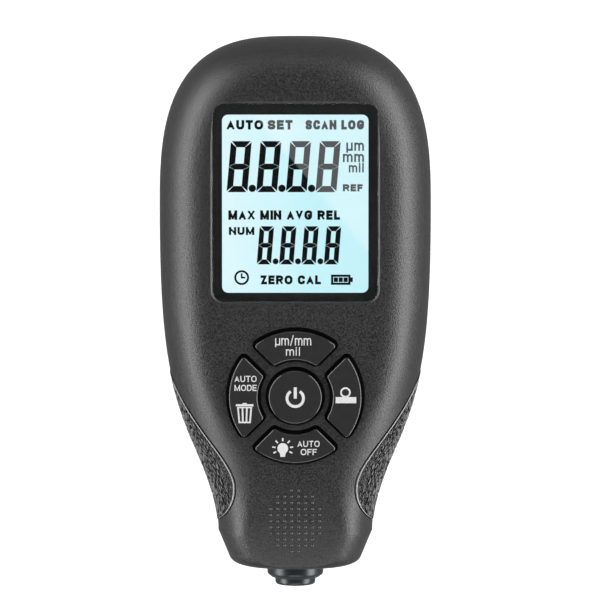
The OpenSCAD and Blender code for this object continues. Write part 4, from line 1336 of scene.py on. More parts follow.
@dataclass
class Display:
    """Clear window with a printed border over the lit glass, and the dark segments in that glass."""

    y: float = 22.425
    window_w: float = 32.0
    window_len: float = 38.4
    window_r: float = 2.2
    z_ledge: float = 24.2
    z_window: float = 25.4
    view_w: float = 28.4
    view_len: float = 34.7
    view_r: float = 1.2
    glass: float = 22.0
    ink_t: float = 0.02
    mitre_gap: float = 0.02
    drop: float = -0.38
    print_drop: float = 0.3
    print_room: float = 0.1
    print_z: Pair = (0.04, 0.002)
    pocket_gap: float = 0.1
    ledge_cut: float = 0.05
    opening_room: Pair = (0.8, 1.2)
    opening_z: Pair = (13.0, 25.0)
    edge: float = 0.22
    lip: float = 0.5
    tip_cut: float = 0.15
    point_r: float = 0.6
    point_at: Pair = (0.1, 0.62)
    bold: float = 0.29
    plain: float = 0.17
    upper: Figures = Figures(4, -13.35, 5.76, 2.15, (4.05, 9.95), 1.2, 0.087)
    lower: Figures = Figures(4, -7.5, 4.35, -11.95, (2.8, 7.45), 0.96, 0.08)

    def pocket_loop(self, inset: float) -> Array:
        """Plan loop of the window's pocket, drawn in by an inset."""
        grow = 2 * self.pocket_gap - 2 * inset
        corner = self.window_r + grow / 2
        return rounded_rectangle(self.window_w + grow, self.window_len + grow, corner, self.y)

    def pocket(self, face: float) -> Solid:
        """Tool for the pocket, with a rounded mouth."""
        return tube(lipped(self.pocket_loop, face, face - self.z_ledge + self.ledge_cut, self.lip))

    def opening(self) -> Solid:
        """Tool for the opening behind the window."""
        across, along = self.opening_room
        plan = rounded_rectangle(self.view_w + across, self.view_len + along, self.view_r, self.y)
        return tube(np.stack([lifted(plan, z) for z in self.opening_z]))

    def pane(self) -> Solid:
        """The window: a flat plate whose upper edge is rounded."""
        b = np.linspace(0, np.pi / 2, 6)
        insets = np.concatenate([[0.0], self.edge * (1 - np.cos(b))])
        heights = np.concatenate([[self.z_ledge], self.z_window - self.edge * (1 - np.sin(b))])
        width, length, corner = self.window_w, self.window_len, self.window_r
        rings = [
            lifted(rounded_rectangle(width - 2 * i, length - 2 * i, corner - i, self.y), z)
            for i, z in zip(insets, heights)
        ]
        return tube(np.stack(rings))

    def border(self) -> Solid:
        """The printed border: a thin frame between the window's edge and the lit area."""
        width, length = self.window_w - self.print_room, self.window_len - self.print_room
        outer = rounded_rectangle(width, length, self.window_r, self.y)
        inner = rounded_rectangle(self.view_w, self.view_len, self.view_r, self.y - self.print_drop)
        low, high = [self.z_ledge - depth for depth in self.print_z]
        return slab(outer, inner, low, high, closed=True)

    def ink_z(self) -> Pair:
        """Underside and top of what is drawn on the glass."""
        return self.glass, self.glass + self.ink_t

    def digits(self, row: Figures) -> list[Solid]:
        """Row of seven-segment figures with all segments dark, and a point between each pair.

        Args:
            row: The row.

        Returns:
            The segments and the points.
        """
        (w, h), t, gap = row.size, row.stroke, self.mitre_gap
        tip = self.tip_cut * t + gap
        flat = np.array([[(tip, 0), (w - tip, 0)], [(t + gap, t), (w - t - gap, t)]])
        tall = np.array([[(0, tip), (0, h / 2 - gap)], [(t, t + gap), (t, h / 2 - t / 2 - gap)]])
        first, last = (2 * gap, 0.0), (w - 2 * gap, 0.0)
        level = np.array([(t, t / 2 - gap), (w - t, t / 2 - gap)])
        middle = np.array([[first, *level, last], [first, *(level * (1, -1)), last]]) + (0, h / 2)
        bars = [flat, flat * (1, -1) + (0, h), middle]
        bars += [tall * (sx, sy) + (ox, oy) for sx, ox in ((1, 0), (-1, w)) for sy, oy in ((1, 0), (-1, h))]
        made = []
        for k in range(row.count):
            for edges in bars:
                lean = edges + np.stack([row.slant * edges[..., 1], np.zeros(edges.shape[:2])], -1)
                left, right = lean + (row.x + k * row.pitch, row.low)
                made.append(slab(left, right, *self.ink_z()))
        shift, rise = self.point_at
        for k in range(row.count - 1):
            x = row.x + (k + 1) * row.pitch - (row.pitch - w) / 2 + shift
            made.append(disc((x, row.low + rise * t), self.point_r * t, *self.ink_z()))
        return made

    def icons(self) -> list[Solid]:
        """A clock and a full battery."""
        z = self.ink_z()
        x, y, clock_r, rim_w = -10.42, -14.53, 1.25, 0.4
        hand_w, long_hand, short_hand = 0.32, 0.85, 0.7
        clock = [
            arc((x, y), clock_r, rim_w, *z),
            bar((x, y), (x, y + long_hand), hand_w, *z),
            bar((x - hand_w / 2, y), (x + short_hand, y), hand_w, *z),
        ]
        left, right, low, high, wall = 6.95, 10.75, -15.95, -13.95, 0.44
        margin, knob_out, knob_w, charge_step, charge_w = 0.55, 0.2, 0.5, 0.95, 0.82
        knob = bar((right + knob_out, low + margin), (right + knob_out, high - margin), knob_w, *z)
        frame = [bar((left, v), (right, v), wall, *z) for v in (low + wall / 2, high - wall / 2)]
        frame += [bar((u, low), (u, high), wall, *z) for u in (left + wall / 2, right - wall / 2)]
        level = left + charge_step * np.arange(1, 4)
        charge = [bar((u, low + margin), (u, high - margin), charge_w, *z) for u in level]
        return [*clock, knob, *frame, *charge]

    def words(self) -> list[Solid]:
        """Plain words and unit symbols round the figures."""
        bold, plain = self.bold, self.plain
        rows = [
            ("AUTO", (-13.35, -6.2), (14.35, 16.2), bold),
            ("SET", (-5.35, -0.5), (14.35, 16.2), bold),
            ("SCAN LOG", (2.0, 13.35), (14.35, 16.2), bold),
            ("µm", (9.9, 13.35), (10.2, 12.3), plain),
            ("mm", (9.25, 13.35), (8.0, 10.1), plain),
            ("mil", (10.4, 13.35), (6.0, 7.85), plain),
            ("REF", (9.25, 13.1), (2.3, 3.7), bold),
            ("MAX MIN AVG REL", (-13.0, 8.7), (-3.25, -1.4), bold),
            ("NUM", (-12.9, -7.95), (-6.2, -4.65), bold),
            ("ZERO CAL", (-6.75, 5.0), (-15.85, -14.1), bold),
        ]
        return [lettering(word, x, y, self.ink_z(), weight) for word, x, y, weight in rows]

    def build(self) -> None:
        """Make the window, its border and the segments."""
        place("window_pane", self.pane().mesh("pane"), ACRYLIC, "case", ("display_window",), "window")
        place("window_border", self.border().mesh("border"), PRINT, "case", (), "window")
        figures = [*self.digits(self.upper), *self.digits(self.lower), *self.icons()]
        for name, marks in (("figures", figures), ("words", self.words())):
            piece = Solid.joined(*marks).moved(y=self.y + self.drop).mesh(name)
            place(f"display_{name}", piece, SEGMENT, "case")


@dataclass
class Probe:
    """Collar, sliding sleeve, pole and winding at the narrow end, turned about the body's long axis."""

    z: float = 13.0
    y_tip: float = -53.875
    y_collar: float = -52.475
    y_flange: float = -47.775
    y_step: float = -49.475
    y_lip: float = -49.425
    y_end: float = -41.275
    y_plug: float = -42.475
    collar_r: float = 5.5
    flange_r: float = 6.4
    flange_t: float = 1.4
    bore_r: float = 4.01
    counter_r: float = 4.7
    sleeve_r: float = 3.95
    lip_r: float = 4.5
    lip_t: float = 1.2
    sleeve_end: float = 1.1
    coil_r: float = 2.96
    core_r: float = 1.3
    core_len: float = 7.4
    clear: float = 0.06
    play: float = 0.05
    chamfer: Pair = (1.0, 0.75)
    bed_room: float = 1.0
    wire: float = 0.3
    spring_turns: int = 5
    travel: float = 1.0

    def seat(self, gap: float) -> list[Solid]:
        """Tools for the collar's bed in the shells."""
        beds = (
            (self.collar_r + gap, self.y_collar, self.y_end + self.bed_room),
            (self.flange_r + gap, self.y_flange - gap / 2, self.y_flange + self.flange_t + gap),
        )
        bores = [[(0, low, 0), (r, low, 0), (r, high, 0), (0, high, 0)] for r, low, high in beds]
        return [turned(eased(bore), (0, self.z), Axis.ALONG, 64) for bore in bores]

    def build(self) -> None:
        """Make the turned pieces."""
        flange, (narrow, deep) = self.y_flange, self.chamfer
        collar = eased(
            [
                (self.bore_r, self.y_collar, 0.1),
                (self.collar_r - narrow, self.y_collar, 0.3),
                (self.collar_r, self.y_collar + deep, 0.4),
                (self.collar_r, flange, 0),
                (self.flange_r, flange, 0.15),
                (self.flange_r, flange + self.flange_t, 0.15),
                (self.collar_r, flange + self.flange_t, 0),
                (self.collar_r, self.y_end, 0.15),
                (self.counter_r, self.y_end, 0),
                (self.counter_r, self.y_step, 0),
                (self.bore_r, self.y_step, 0),
            ],
            9,
        )
        bore = self.core_r + self.clear
        sleeve = eased(
            [
                (bore, self.y_tip, 0.12),
                (self.sleeve_r, self.y_tip, 0.8),
                (self.sleeve_r, self.y_lip, 0),
                (self.lip_r, self.y_lip, 0.1),
                (self.lip_r, self.y_lip + self.lip_t, 0.1),
                (self.coil_r + self.play, self.y_lip + self.lip_t, 0),
                (self.coil_r + self.play, self.y_tip + self.sleeve_end, 0),
                (bore, self.y_tip + self.sleeve_end, 0),
            ],
            8,
        )
        core = eased(
            [
                (0, self.y_tip + self.play, 0),
                (self.core_r, self.y_tip + self.play, 0.2),
                (self.core_r, self.y_tip + self.core_len, 0.2),
                (0, self.y_tip + self.core_len, 0),
            ]
        )
        parts = [
            ("collar", collar, ACETAL, "case"),
            ("sleeve", sleeve, ACETAL, "probe_tip"),
            ("core", core, POLE, "probe_tip"),
        ]
        for name, profile, finish, body in parts:
            piece = turned(profile, (0, self.z), Axis.ALONG, 128).mesh(name)
            place(f"probe_{name}_turned", piece, finish, body, (f"probe_{name}",), name)
        start, end = self.y_lip + self.lip_t, self.y_plug
        radius = self.coil_r + 3 * self.wire
        wire = coil((0, self.z), start, end, (radius, radius), self.wire, self.spring_turns)
        made = place("probe_return_spring", wire.mesh("spring"), POLE, "case", ("probe_spring",), "spring")
        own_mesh(made)


@dataclass
class Grips:
    """Leather-grained rubber inlays in the sides of the waist."""

    form: BodyForm
    stations: int = 330
    columns: int = 270
    inner_columns: int = 10
    end_room: float = 0.02
    search_steps: int = 4000
    table: int = 128
    origin: tuple[int, int] = (90, 120)
    crease_w: float = 0.42
    pebble_fall: float = 0.35
    datum: float = 0.8
    pebble_mm: Pair = (0.36, 0.42)
    crease_mm: Pair = (0.6, 1.7)
    front_at: Pair = (9.5, 13.0)
    relief: float = 0.26
    side_relief: float = 0.42
    crowd: float = 1.4
    proud: float = 0.08
    full_w: float = 8.0
    bead_h: float = 0.24
    bead_w: float = 0.56
    grain_start: float = 0.9
    level_share: float = 0.2
    crown_power: float = 5.0
    back_lap: float = 0.08
    # share of painted highlight on the pebbles' tops, at the front and at the side, and how narrowly it keeps
    # to them
    crest_highlight: Pair = (0.26, 0.5)
    crest_highlight_power: float = 10.0
    seed: int = 7

    def grain(self, along: Array, around: Array, size: Pair) -> Array:
        """Height of the leather grain, nought to one: pebbles about scattered points on a grid that sways by
        two sine waves, parted by creases where the nearest two points are equally far.

        Args:
            along: Distance along the grip.
            around: Distance round it.
            size: Width and length of a pebble.

        Returns:
            The height at each point.
        """
        rng = np.random.default_rng(self.seed)
        jitter = rng.random((self.table, self.table, 2))
        u, v = around / size[0] + self.origin[0], along / size[1] + self.origin[1]
        sway, drift = 0.25 * np.sin(v * 1.7), 0.2 * np.sin(v * 0.63 + u)
        u = u + sway + drift
        cell_u, cell_v = np.floor(u).astype(int), np.floor(v).astype(int)
        near, next_near = np.full(u.shape, 9.0), np.full(u.shape, 9.0)
        for du in (-1, 0, 1):
            for dv in (-1, 0, 1):
                spot = jitter[(cell_u + du) % self.table, (cell_v + dv) % self.table]
                away = np.hypot(cell_u + du + spot[..., 0] - u, cell_v + dv + spot[..., 1] - v)
                next_near = np.minimum(next_near, np.maximum(near, away))
                near = np.minimum(near, away)
        t = ((next_near - near) / self.crease_w).clip(0, 1)
        return t * t * (3 - 2 * t) * (1 - self.pebble_fall * near)

    def section(self, y: Array) -> tuple[Array, ...]:
        """Half-widths of the silhouette, the front flat and the back flat at stations along the body.

        Args:
            y: The stations.

        Returns:
            The three half-widths.
        """
        first = CLOSE.head
        last = first + CLOSE.side + CLOSE.foot + 1
        insets = [np.zeros(5), self.form.flats(Side.FRONT), self.form.flats(Side.BACK)]
        halves = [self.form.half(i, CLOSE)[first:last] for i in insets]
        return tuple(np.interp(-y, -h[:, 1], h[:, 0]) for h in halves)

    def skin(self) -> Array:
        """Grid over the right grip, from its back edge round the side to its front edge at each station. Each
        section is the body's own superellipse between the two edges.

        Returns:
            The points, stations by columns by three.
        """
        edge = self.form.grip_edge()
        y = np.linspace(edge[0, 1], edge[-1, 1], self.search_steps)
        reach = np.interp(-y, -edge[:, 1], edge[:, 0])
        inside = y[reach < self.section(y)[0] - self.end_room]
        share = np.linspace(0, 1, self.stations)
        y = inside[0] + (inside[-1] - inside[0]) * share
        x_edge = np.interp(-y, -edge[:, 1], edge[:, 0])
        side, front, back = self.section(y)
        power = 2 / self.form.shoulder_power
        even = np.linspace(-1, 1, self.columns)[None, :]
        way = np.sign(even) * (1 - (1 - np.abs(even)) ** self.crowd)
        points = np.zeros((self.stations, self.columns, 3))
        for half, flat in ((Side.FRONT, front), (Side.BACK, back)):
            most = np.arccos(((x_edge - flat) / (side - flat)).clip(0, 1) ** (1 / power))
            q = np.abs(way) * most[:, None]
            x = flat[:, None] + (side - flat)[:, None] * np.cos(q) ** power
            rise = np.sin(q) ** power
            plan = np.stack([x, np.broadcast_to(y[:, None], x.shape)], -1)
            sunk = half.value * self.form.roll_off(plan) * np.sin(np.pi / 2 * rise)
            z = self.form.part_z + (self.form.level(half, y) - self.form.part_z)[:, None] * rise - sunk
            here = lifted(plan, z)
            points = np.where((way * half.value >= 0)[..., None], here, points)
        return points

    def right(self) -> tuple[Solid, Array]:
        """The right grip: grained skin inside a raised bead, half an ellipse across, over a plain inner skin.

        Returns:
            The closed solid, and at each point how much pale highlight is painted on it.
        """
        points = self.skin()
        d_row, d_column = np.gradient(points, axis=0), np.gradient(points, axis=1)
        normal = np.cross(d_row, d_column)
        length = np.linalg.norm(normal, axis=-1, keepdims=True)
        normal = normal / np.maximum(length, 1e-9)
        away = np.sign(points[..., 2:] - self.form.part_z) * normal[..., 2:]
        normal = np.where(normal[..., :1] + self.level_share * away < 0, -normal, normal)
        steps = np.linalg.norm(np.diff(points, axis=1), axis=-1)
        around = np.concatenate([np.zeros((len(points), 1)), np.cumsum(steps, 1)], 1)
        to_edge = np.minimum(around, around[:, -1:] - around)
        middle = around - around[:, self.columns // 2, None]
        t = (to_edge / self.bead_w).clip(0, 1)
        round_top = 1 - (2 * t - 1) ** 2
        bead = self.bead_h * np.sqrt(round_top.clip(0)) + self.proud * t
        fade = (to_edge / self.bead_w - self.grain_start).clip(0, 1)
        near, far = self.front_at
        front = ((np.abs(middle) - near) / (far - near)).clip(0, 1)
        fine = self.grain(points[..., 1], middle, self.pebble_mm)
        long = self.grain(points[..., 1], middle, self.crease_mm)
        relief, crest_highlight = (self.relief, self.side_relief), self.crest_highlight
        grain = front * relief[0] * (fine - self.datum) + (1 - front) * relief[1] * (long - self.datum)
        # share of painted highlight on the pebbles' tops
        crest_highlight_share = front * crest_highlight[0] * fine**self.crest_highlight_power + (1 - front) * crest_highlight[1] * long**self.crest_highlight_power
        broad = (around[:, -1:] / self.full_w).clip(0, 1)
        lift = bead * broad + grain * fade
        outer = points + normal * lift[..., None]
        pick = np.linspace(self.columns - 1, 0, self.inner_columns).round().astype(int)
        inner = (points - normal * (self.form.grip_t - self.back_lap))[:, pick]
        made = tube(np.concatenate([outer, inner], 1))
        # painted highlight: pale along the bead's crown and on the pebbles' tops
        painted_highlight = np.maximum(broad * round_top**self.crown_power, crest_highlight_share * fade * broad)
        painted_highlight = np.pad(painted_highlight, ((0, 0), (0, self.inner_columns))).ravel()
        shares = np.zeros(len(made.points))
        shares[: len(painted_highlight)] = painted_highlight
        return made, shares

    def build(self) -> None:
        """Make both grips, the left as the mirror image of the right."""
        right, painted_highlight = self.right()
        left = Solid(right.points * (-1, 1, 1), right.faces)
        for name, piece in (("right", right), ("left", left)):
            mesh = piece.mesh("grip", painted_highlight)
            place(f"{name}_grip_rubber", mesh, RUBBER, "case", (f"{name}_grip",), "grip", crease=75)


@dataclass
class Shells:
    """Front and rear halves of the moulded case, carved from the body's form."""

    form: BodyForm
    keypad: Keypad
    display: Display
    probe: Probe
    rim: float = 0.16
    face_wall: float = 2.6
    back_wall: float = 2.0
    loose: float = 0.1
    boss_r: float = 2.6
    screw_r: float = 1.0
    screw_head_r: float = 1.9
    screw_seat: float = 5.4
    post_r: float = 1.9
    board_screw_r: float = 0.9
    z_board: float = 17.2
    screw_len: float = 12.0
    screw_head_t: float = 1.5
    screw_bite: float = 0.025
    cross_size: Pair = (1.15, 0.26)
    cross_depth: float = 0.75
    case_screws: tuple[Pair, ...] = ((20.3, 34.225), (-20.3, 34.225), (8.5, -39.175), (-8.5, -39.175))
    board_posts: tuple[Pair, ...] = ((15.45, -0.025), (-15.45, -0.025), (0.0, -31.325))
    board_bore: Pair = (-1.0, 5.0)
    front_span: Pair = (10.0, 30.0)
    back_span: Pair = (-1.0, 26.0)
    cradle_half: float = 26.0
    cradle_t: float = 1.0
    waist_room: float = 1.6
    dot_rows: int = 11
    dot_columns: int = 8
    dot_pitch: Pair = (1.36, 1.22)
    dot_y: float = -39.875
    dot_rim: float = 0.95
    dot_r: float = 0.3
    dot_h: float = 0.25
    dot_root: float = 0.15
    dot_tip: float = 0.04
    bay_w: float = 21.9
    bay_y: Pair = (-12.375, 36.825)
    bay_wall: float = 1.2
    z_bay: float = 12.95
    door_w: float = 25.9
    door_y: Pair = (-14.375, 38.825)
    door_gap: float = 0.2
    door_r: float = 0.4
    door_lip: float = 0.25
    door_room: float = 0.05
    door_bevel: float = 0.12
    z_door: float = 1.85
    hook_x: float = 6.5
    hook_w: float = 5.0
    hook_t: float = 0.85
    hook_reach: float = 1.4
    thumb_r: float = 6.0
    thumb_depth: float = 1.7

    def cradle(self) -> Solid:
        """Cross wall behind the collar's flange."""
        y = self.probe.y_flange + self.probe.flange_t + self.loose
        half = self.cradle_half
        return box((-half, half), (y, y + self.cradle_t), (0, self.form.body_t))

    def cavity(self, side: Side, webs: list[Solid]) -> Mesh:
        """Tool for the hollow of one half, less the webs that stand in it.

        Args:
            side: Face or back.
            webs: Bosses, posts and walls that are left standing.

        Returns:
            The tool's mesh.
        """
        wall, deep = self.form.wall, self.form.wall + self.form.grip_t
        ins = np.array([wall, deep, deep, wall, wall])
        flats = self.form.flats(side) + (0, -self.waist_room if side is Side.FRONT else 0, 0, 0, wall)
        sink = self.face_wall if side is Side.FRONT else self.back_wall
        hollow = self.form.dome(side, ins, flats, self.form.part_z - side.value, sink, ROUGH)
        return carved(hollow.mesh("hollow"), *[(Cut.TAKE, web.mesh("web")) for web in webs])

    def pins(self, spots: tuple[Pair, ...], radius: float, low: float, high: float) -> Solid:
        """Round pins at the same heights."""
        return Solid.joined(*[disc(spot, radius, low, high) for spot in spots])

    def front(self) -> Mesh:
        """The front half, with the window's pocket, the key wells, the grips' seats and the collar's bed."""
        form = self.form
        start = form.part_z + form.part_gap / 2
        skin = form.dome(Side.FRONT, np.zeros(5), form.flats(Side.FRONT), start, 0, FINE, self.rim)
        low, high = self.front_span
        webs = [
            self.pins(self.case_screws, self.boss_r, low, high),
            self.pins(self.board_posts, self.post_r, self.z_board, high),
            self.cradle(),
        ]
        tip = self.screw_seat + self.screw_len + 2 * self.loose
        foot, end = [self.z_board + reach for reach in self.board_bore]
        bores = Solid.joined(
            self.pins(self.case_screws, self.screw_r + self.screw_bite, form.part_z - 1, tip),
            self.pins(self.board_posts, self.board_screw_r + self.screw_bite, foot, end),
        )
        tools = [
            self.cavity(Side.FRONT, webs),
            form.grip_recess(1),
            form.grip_recess(-1),
            self.display.pocket(form.body_t).mesh("pocket"),
            self.display.opening().mesh("opening"),
            self.keypad.wells(self.face_wall + 1).mesh("wells"),
            bores.mesh("bores"),
            *[s.mesh("seat") for s in self.probe.seat(self.loose)],
        ]
        return carved(skin.mesh("front"), *[(Cut.TAKE, tool) for tool in tools])

    def dots(self) -> Solid:
        """Touch dots: low domes on a grid kept inside an oval, each a cosine cap on a round foot."""
        u, v = np.meshgrid(np.arange(self.dot_columns), np.arange(self.dot_rows))
        u, v = u - (self.dot_columns - 1) / 2, v - (self.dot_rows - 1) / 2
        keep = (2 * u / self.dot_columns) ** 2 + (2 * v / self.dot_rows) ** 2 < self.dot_rim
        x, y = u[keep] * self.dot_pitch[0], v[keep] * self.dot_pitch[1] + self.dot_y
        z = self.form.level(Side.FRONT, y)
        t = np.linspace(0, 1, 5)
        radius = np.concatenate([[1.0], np.cos(t * np.pi / 2).clip(self.dot_tip)]) * self.dot_r
        height = np.concatenate([[-self.dot_root], np.sin(t * np.pi / 2) * self.dot_h])
        a = np.linspace(0, 2 * np.pi, 12, endpoint=False)
        plan = radius[:, None, None] * np.stack([np.cos(a), np.sin(a)], -1)
        one = tube(lifted(plan, np.broadcast_to(height[:, None], plan.shape[:2])))
        centres = np.stack([x, y, z], -1)
        points = (one.points[None] + centres[:, None]).reshape(-1, 3)
        step = np.arange(len(centres))[:, None, None] * len(one.points)
        return Solid(points, [(f[None] + step).reshape(-1, f.shape[1]) for f in one.faces])

    def door_loop(self, inset: float) -> Array:
        """Plan loop of the battery door's pocket, drawn in by an inset."""
        grow = 2 * self.door_gap - 2 * inset
        length = self.door_y[1] - self.door_y[0]
        corner, middle = self.door_r + grow / 2, sum(self.door_y) / 2
        return rounded_rectangle(self.door_w + grow, length + grow, corner, middle, 6)

    def rear(self) -> Mesh:
        """The rear half, with the battery bay, the door's pocket and thumb scoop, and the screws' wells."""
        form = self.form
        top = form.part_z - form.part_gap / 2
        skin = form.dome(Side.BACK, np.zeros(5), form.flats(Side.BACK), top, 0, FINE, self.rim)
        low, high = self.back_span
        half, wall = self.bay_w / 2, self.bay_wall
        across, along = (-half - wall, half + wall), (self.bay_y[0] - wall, self.bay_y[1] + wall)
        outer = box(across, along, (low, form.part_z + 1))
        roof = box(across, along, (top - 1, self.z_bay + wall))
        bay = box((-half, half), self.bay_y, (low, self.z_bay))
        webs = [self.pins(self.case_screws, self.boss_r, low, high), outer, self.cradle()]
        door = tube(lipped(self.door_loop, 0.0, self.z_door + self.door_room, self.door_lip, Side.BACK))
        reach = self.hook_w / 2 + self.door_gap
        slot_y = (self.door_y[1] - 1, self.door_y[1] + self.hook_reach + 2 * self.door_gap)
        slot_z = (self.z_door - self.hook_t - self.loose, self.back_wall + 1)
        slots = [box((x - reach, x + reach), slot_y, slot_z) for x in (-self.hook_x, self.hook_x)]
        hooks = Solid.joined(*slots)
        a = np.linspace(-np.pi / 2, np.pi / 2, 33)
        ball = self.thumb_r * np.stack([np.cos(a), np.sin(a)], -1) + (0, self.thumb_depth - self.thumb_r)
        scoop = turned(ball, (0, self.door_y[0] - self.door_gap), Axis.OUT, 64)
        shanks = self.pins(self.case_screws, self.screw_r + self.loose, low, high)
        heads = self.pins(self.case_screws, self.screw_head_r + self.loose, low, self.screw_seat)
        tools = [
            (Cut.TAKE, self.cavity(Side.BACK, webs)),
            (Cut.ADD, roof.mesh("roof")),
            (Cut.TAKE, form.grip_recess(1)),
            (Cut.TAKE, form.grip_recess(-1)),
            *[(Cut.TAKE, s.mesh("tool")) for s in (bay, door, hooks, scoop, shanks, heads)],
            *[(Cut.TAKE, s.mesh("seat")) for s in self.probe.seat(self.loose)],
        ]
        return carved(skin.mesh("rear"), *tools)

    def screws(self) -> Mesh:
        """Four pan-head screws with a cross in the head."""
        seat = self.screw_seat
        crown, tip = seat - self.screw_head_t, seat + self.screw_len
        profile = eased(
            [
                (0, crown, 0),
                (self.screw_head_r, crown, 0.5),
                (self.screw_head_r, seat, 0),
                (self.screw_r, seat, 0),
                (self.screw_r, tip, 0.2),
                (0, tip, 0),
            ]
        )
        pins = [turned(profile, spot, Axis.OUT, 40) for spot in self.case_screws]
        slots = []
        for a, b in (self.cross_size, self.cross_size[::-1]):
            cuts = [
                box((x - a, x + a), (y - b, y + b), (crown - 0.5, crown + self.cross_depth))
                for x, y in self.case_screws
            ]
            slots.append((Cut.TAKE, Solid.joined(*cuts).mesh("slots")))
        return carved(Solid.joined(*pins).mesh("screws"), *slots)

    def build(self, nodes: dict[str, Thing]) -> None:
        """Make the shells, the touch dots, the lid and the screws.

        Args:
            nodes: The CAD nodes.
        """
        place("front_shell_moulding", self.front(), CASE, "case", ("front_shell",), "case", crease=10)
        place("rear_shell_moulding", self.rear(), BACK, "case", ("rear_shell",), "case", crease=10)
        place("touch_dots", self.dots().mesh("dots"), DOT, "case", (), "case", crease=60)
        door = copied(nodes["battery_door"], self.door_bevel)
        place("battery_door_lid", door, BACK, "door", ("battery_door",), "case", crease=24)
        place("case_screw_set", self.screws(), ZINC, "case", ("case_screws",), "screw")


@dataclass
class Cells:
    """Two plain cells side by side, one turned about, with their spring contacts."""

    x: float = 5.4
    z: float = 7.4
    middle: float = 12.225
    bay: float = 49.2
    length: float = 44.5
    radius: float = 5.25
    button_r: float = 1.9
    button_h: float = 0.8
    spring: float = 4.2
    spring_r: Pair = (3.2, 1.92)
    spring_turns: int = 4
    wire: float = 0.3

    def build(self) -> None:
        """Make the cells and their springs."""
        for name, x, way in (("left", -self.x, 1), ("right", self.x, -1)):
            foot = self.middle - way * (self.bay / 2 - self.spring)
            can = foot + way * (self.length - self.button_h)
            cell = eased(
                [
                    (0, foot, 0),
                    (self.radius, foot, 0.5),
                    (self.radius, can, 0.7),
                    (self.button_r, can, 0.2),
                    (self.button_r, can + way * self.button_h, 0.3),
                    (0, can + way * self.button_h, 0),
                ]
            )
            can_mesh = turned(cell, (x, self.z), Axis.ALONG).mesh("cell")
            place(f"{name}_cell_can", can_mesh, WRAP, "case", (f"{name}_cell",), "cell")
            start = self.middle - way * self.bay / 2
            end = start + way * self.spring
            wire = coil((x, self.z), start, end, self.spring_r, self.wire, self.spring_turns)
            place(f"{name}_cell_coil", wire.mesh("coil"), NICKEL, "case", (f"{name}_cell_spring",), "contact")


@dataclass
class Inside:
    """Finishes of the plain pieces inside, which keep their CAD shapes."""

    finishes: dict[str, Finish] = field(
        default_factory=lambda: {
            "display_glass": DISPLAY,
            "display_backlight": GUIDE,
            "display_holder": PALE,
            "contact_strip": STRIP,
            "circuit_board": BOARD,
            "controller_chip": EPOXY,
            "left_cell_plate": NICKEL,
            "right_cell_plate": NICKEL,
            "probe_coil": COPPER,
            "probe_plug": EPOXY,
            "board_screws": ZINC,
        }
    )

    def build(self, nodes: dict[str, Thing]) -> None:
        """Give each node its finish.

        Args:
            nodes: The CAD nodes.
        """
        chosen = dict(self.finishes)
        for key in ("power", "units", "delete", "light", "zero"):
            chosen[f"{key}_switch"] = EPOXY
            chosen[f"{key}_plunger"] = NYLON
        for name, finish in chosen.items():
            data = nodes[name].data
            data.materials.clear()
            data.materials.append(finish.material())
            LOG.info("%s: finished as %s", name, finish.name)


@dataclass(frozen=True)
class Lamp:
    """A soft rectangular lamp: its place and size in metres, and its power in watts."""

    name: str
    at: Triple
    size: Pair
    watts: float


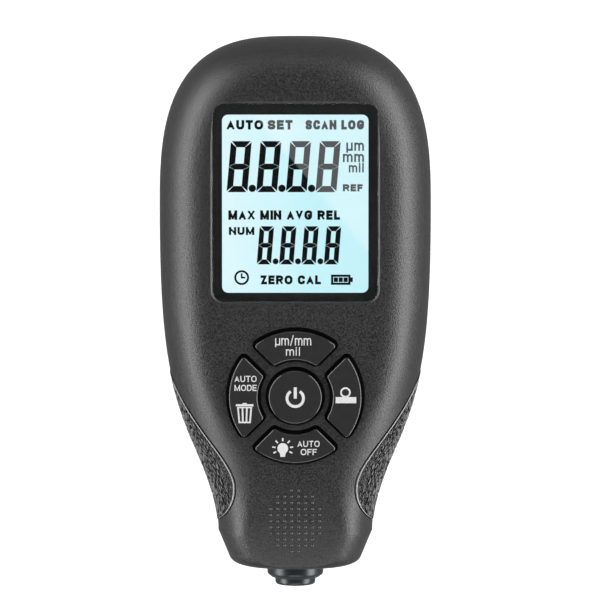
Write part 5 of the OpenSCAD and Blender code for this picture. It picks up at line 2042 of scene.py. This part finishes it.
@dataclass
class Studio:
    """Pale floor, soft lamps and the camera at the photograph's view."""

    aim: Triple = (2.09, 0.97, 13.0)
    tilt: float = 6.0
    distance: float = 1600.0
    span: float = 119.77
    clip: Pair = (0.01, 20.0)
    floor_size: float = 6.0
    floor_drop: float = 0.05
    floor_tone: str = "#b4b4b4"
    floor_glow: float = 0.74
    bounce_tone: str = "#8a8a8a"
    sky_tone: str = "#e6e6e6"
    sky_strength: float = 0.07
    white: str = "#ffffff"
    lamps: tuple[Lamp, ...] = (
        Lamp("left_softbox", (-0.62, 0.06, 0.25), (1.4, 0.36), 12.4),
        Lamp("right_softbox", (0.62, 0.06, 0.25), (1.4, 0.36), 13.6),
        Lamp("head_softbox", (0.0, 0.8, 0.2), (0.6, 0.14), 0.7),
        Lamp("foot_softbox", (0.0, -0.62, 0.5), (0.6, 0.3), 2.6),
    )

    def floor(self) -> None:
        """Flat floor that reads white to the camera, keeps the shadow and sends little light back up."""
        half, low = self.floor_size / 2, -self.floor_drop * MM
        corners = [(-half, -half, low), (half, -half, low), (half, half, low), (-half, half, low)]
        mesh = bpy.data.meshes.new("floor")
        mesh.from_pydata(corners, [], [(0, 1, 2, 3)])
        ground = bpy.data.objects.new("floor", mesh)
        bpy.context.scene.collection.objects.link(ground)
        paint = bpy.data.materials.new("painted_floor")
        paint.use_nodes = True
        tree = paint.node_tree
        tree.nodes.clear()
        path = add_node(tree, "ShaderNodeLightPath").outputs
        matt = add_node(tree, "ShaderNodeBsdfDiffuse", {"Color": linear(self.floor_tone)}).outputs["BSDF"]
        lit = {"Color": linear(self.white), "Strength": self.floor_glow}
        glow = add_node(tree, "ShaderNodeEmission", lit).outputs["Emission"]
        bright = add_node(tree, "ShaderNodeAddShader", links={0: matt, 1: glow}).outputs["Shader"]
        ways = {0: path["Is Camera Ray"], 1: path["Is Transmission Ray"]}
        seen = add_node(tree, "ShaderNodeMath", links=ways, operation="MAXIMUM").outputs["Value"]
        dull = add_node(tree, "ShaderNodeBsdfDiffuse", {"Color": linear(self.bounce_tone)}).outputs["BSDF"]
        both = add_node(tree, "ShaderNodeMixShader", links={0: seen, 1: dull, 2: bright}).outputs["Shader"]
        add_node(tree, "ShaderNodeOutputMaterial", links={"Surface": both})
        mesh.materials.append(paint)

    def world(self) -> None:
        """White backdrop to the camera, and a dim even sky for everything else."""
        sky = bpy.data.worlds.new("studio")
        bpy.context.scene.world = sky
        sky.use_nodes = True
        tree = sky.node_tree
        tree.nodes.clear()
        path = add_node(tree, "ShaderNodeLightPath").outputs["Is Camera Ray"]
        looks = ((self.sky_tone, self.sky_strength), (self.white, 1.0))
        skies = [
            add_node(tree, "ShaderNodeBackground", {"Color": linear(tone), "Strength": level})
            for tone, level in looks
        ]
        dim, bright = [made.outputs["Background"] for made in skies]
        both = add_node(tree, "ShaderNodeMixShader", links={0: path, 1: dim, 2: bright}).outputs["Shader"]
        add_node(tree, "ShaderNodeOutputWorld", links={"Surface": both})

    def light_up(self, lamp: Lamp) -> None:
        """Add a lamp, aimed at the gauge's middle."""
        light = bpy.data.lights.new(lamp.name, "AREA")
        light.shape, light.energy = "RECTANGLE", lamp.watts
        light.size, light.size_y = lamp.size
        thing = bpy.data.objects.new(lamp.name, light)
        thing.location = lamp.at
        thing.rotation_mode = "QUATERNION"
        aim = Vector((0, 0, self.aim[2] * MM)) - Vector(lamp.at)
        thing.rotation_quaternion = aim.to_track_quat("-Z", "Y")
        bpy.context.scene.collection.objects.link(thing)

    def camera(self) -> None:
        """Long lens above the face, leaning a little to the head's end."""
        data = bpy.data.cameras.new("camera")
        data.sensor_width = 36.0
        data.lens = data.sensor_width * self.distance / self.span
        data.clip_start, data.clip_end = self.clip
        thing = bpy.data.objects.new("camera", data)
        lean = math.radians(self.tilt)
        back = Vector((0, math.sin(lean), math.cos(lean)))
        thing.location = (Vector(self.aim) + back * self.distance) * MM
        thing.rotation_euler = (-lean, 0, 0)
        bpy.context.scene.collection.objects.link(thing)
        bpy.context.scene.camera = thing

    def build(self) -> None:
        """Set the stage."""
        bpy.context.scene.view_settings.view_transform = "Standard"
        self.floor()
        self.world()
        for lamp in self.lamps:
            self.light_up(lamp)
        self.camera()


def main() -> None:
    """Load the frame, dress every piece and set the stage."""
    logging.basicConfig(level=logging.INFO, format="%(name)s: %(message)s")
    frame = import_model()
    form, keypad, display, probe = BodyForm(), Keypad(), Display(), Probe()
    Shells(form, keypad, display, probe).build(frame["nodes"])
    Grips(form).build()
    display.build()
    keypad.build()
    probe.build()
    Cells().build()
    Inside().build(frame["nodes"])
    Studio().build()


if __name__ == "__main__":
    main()
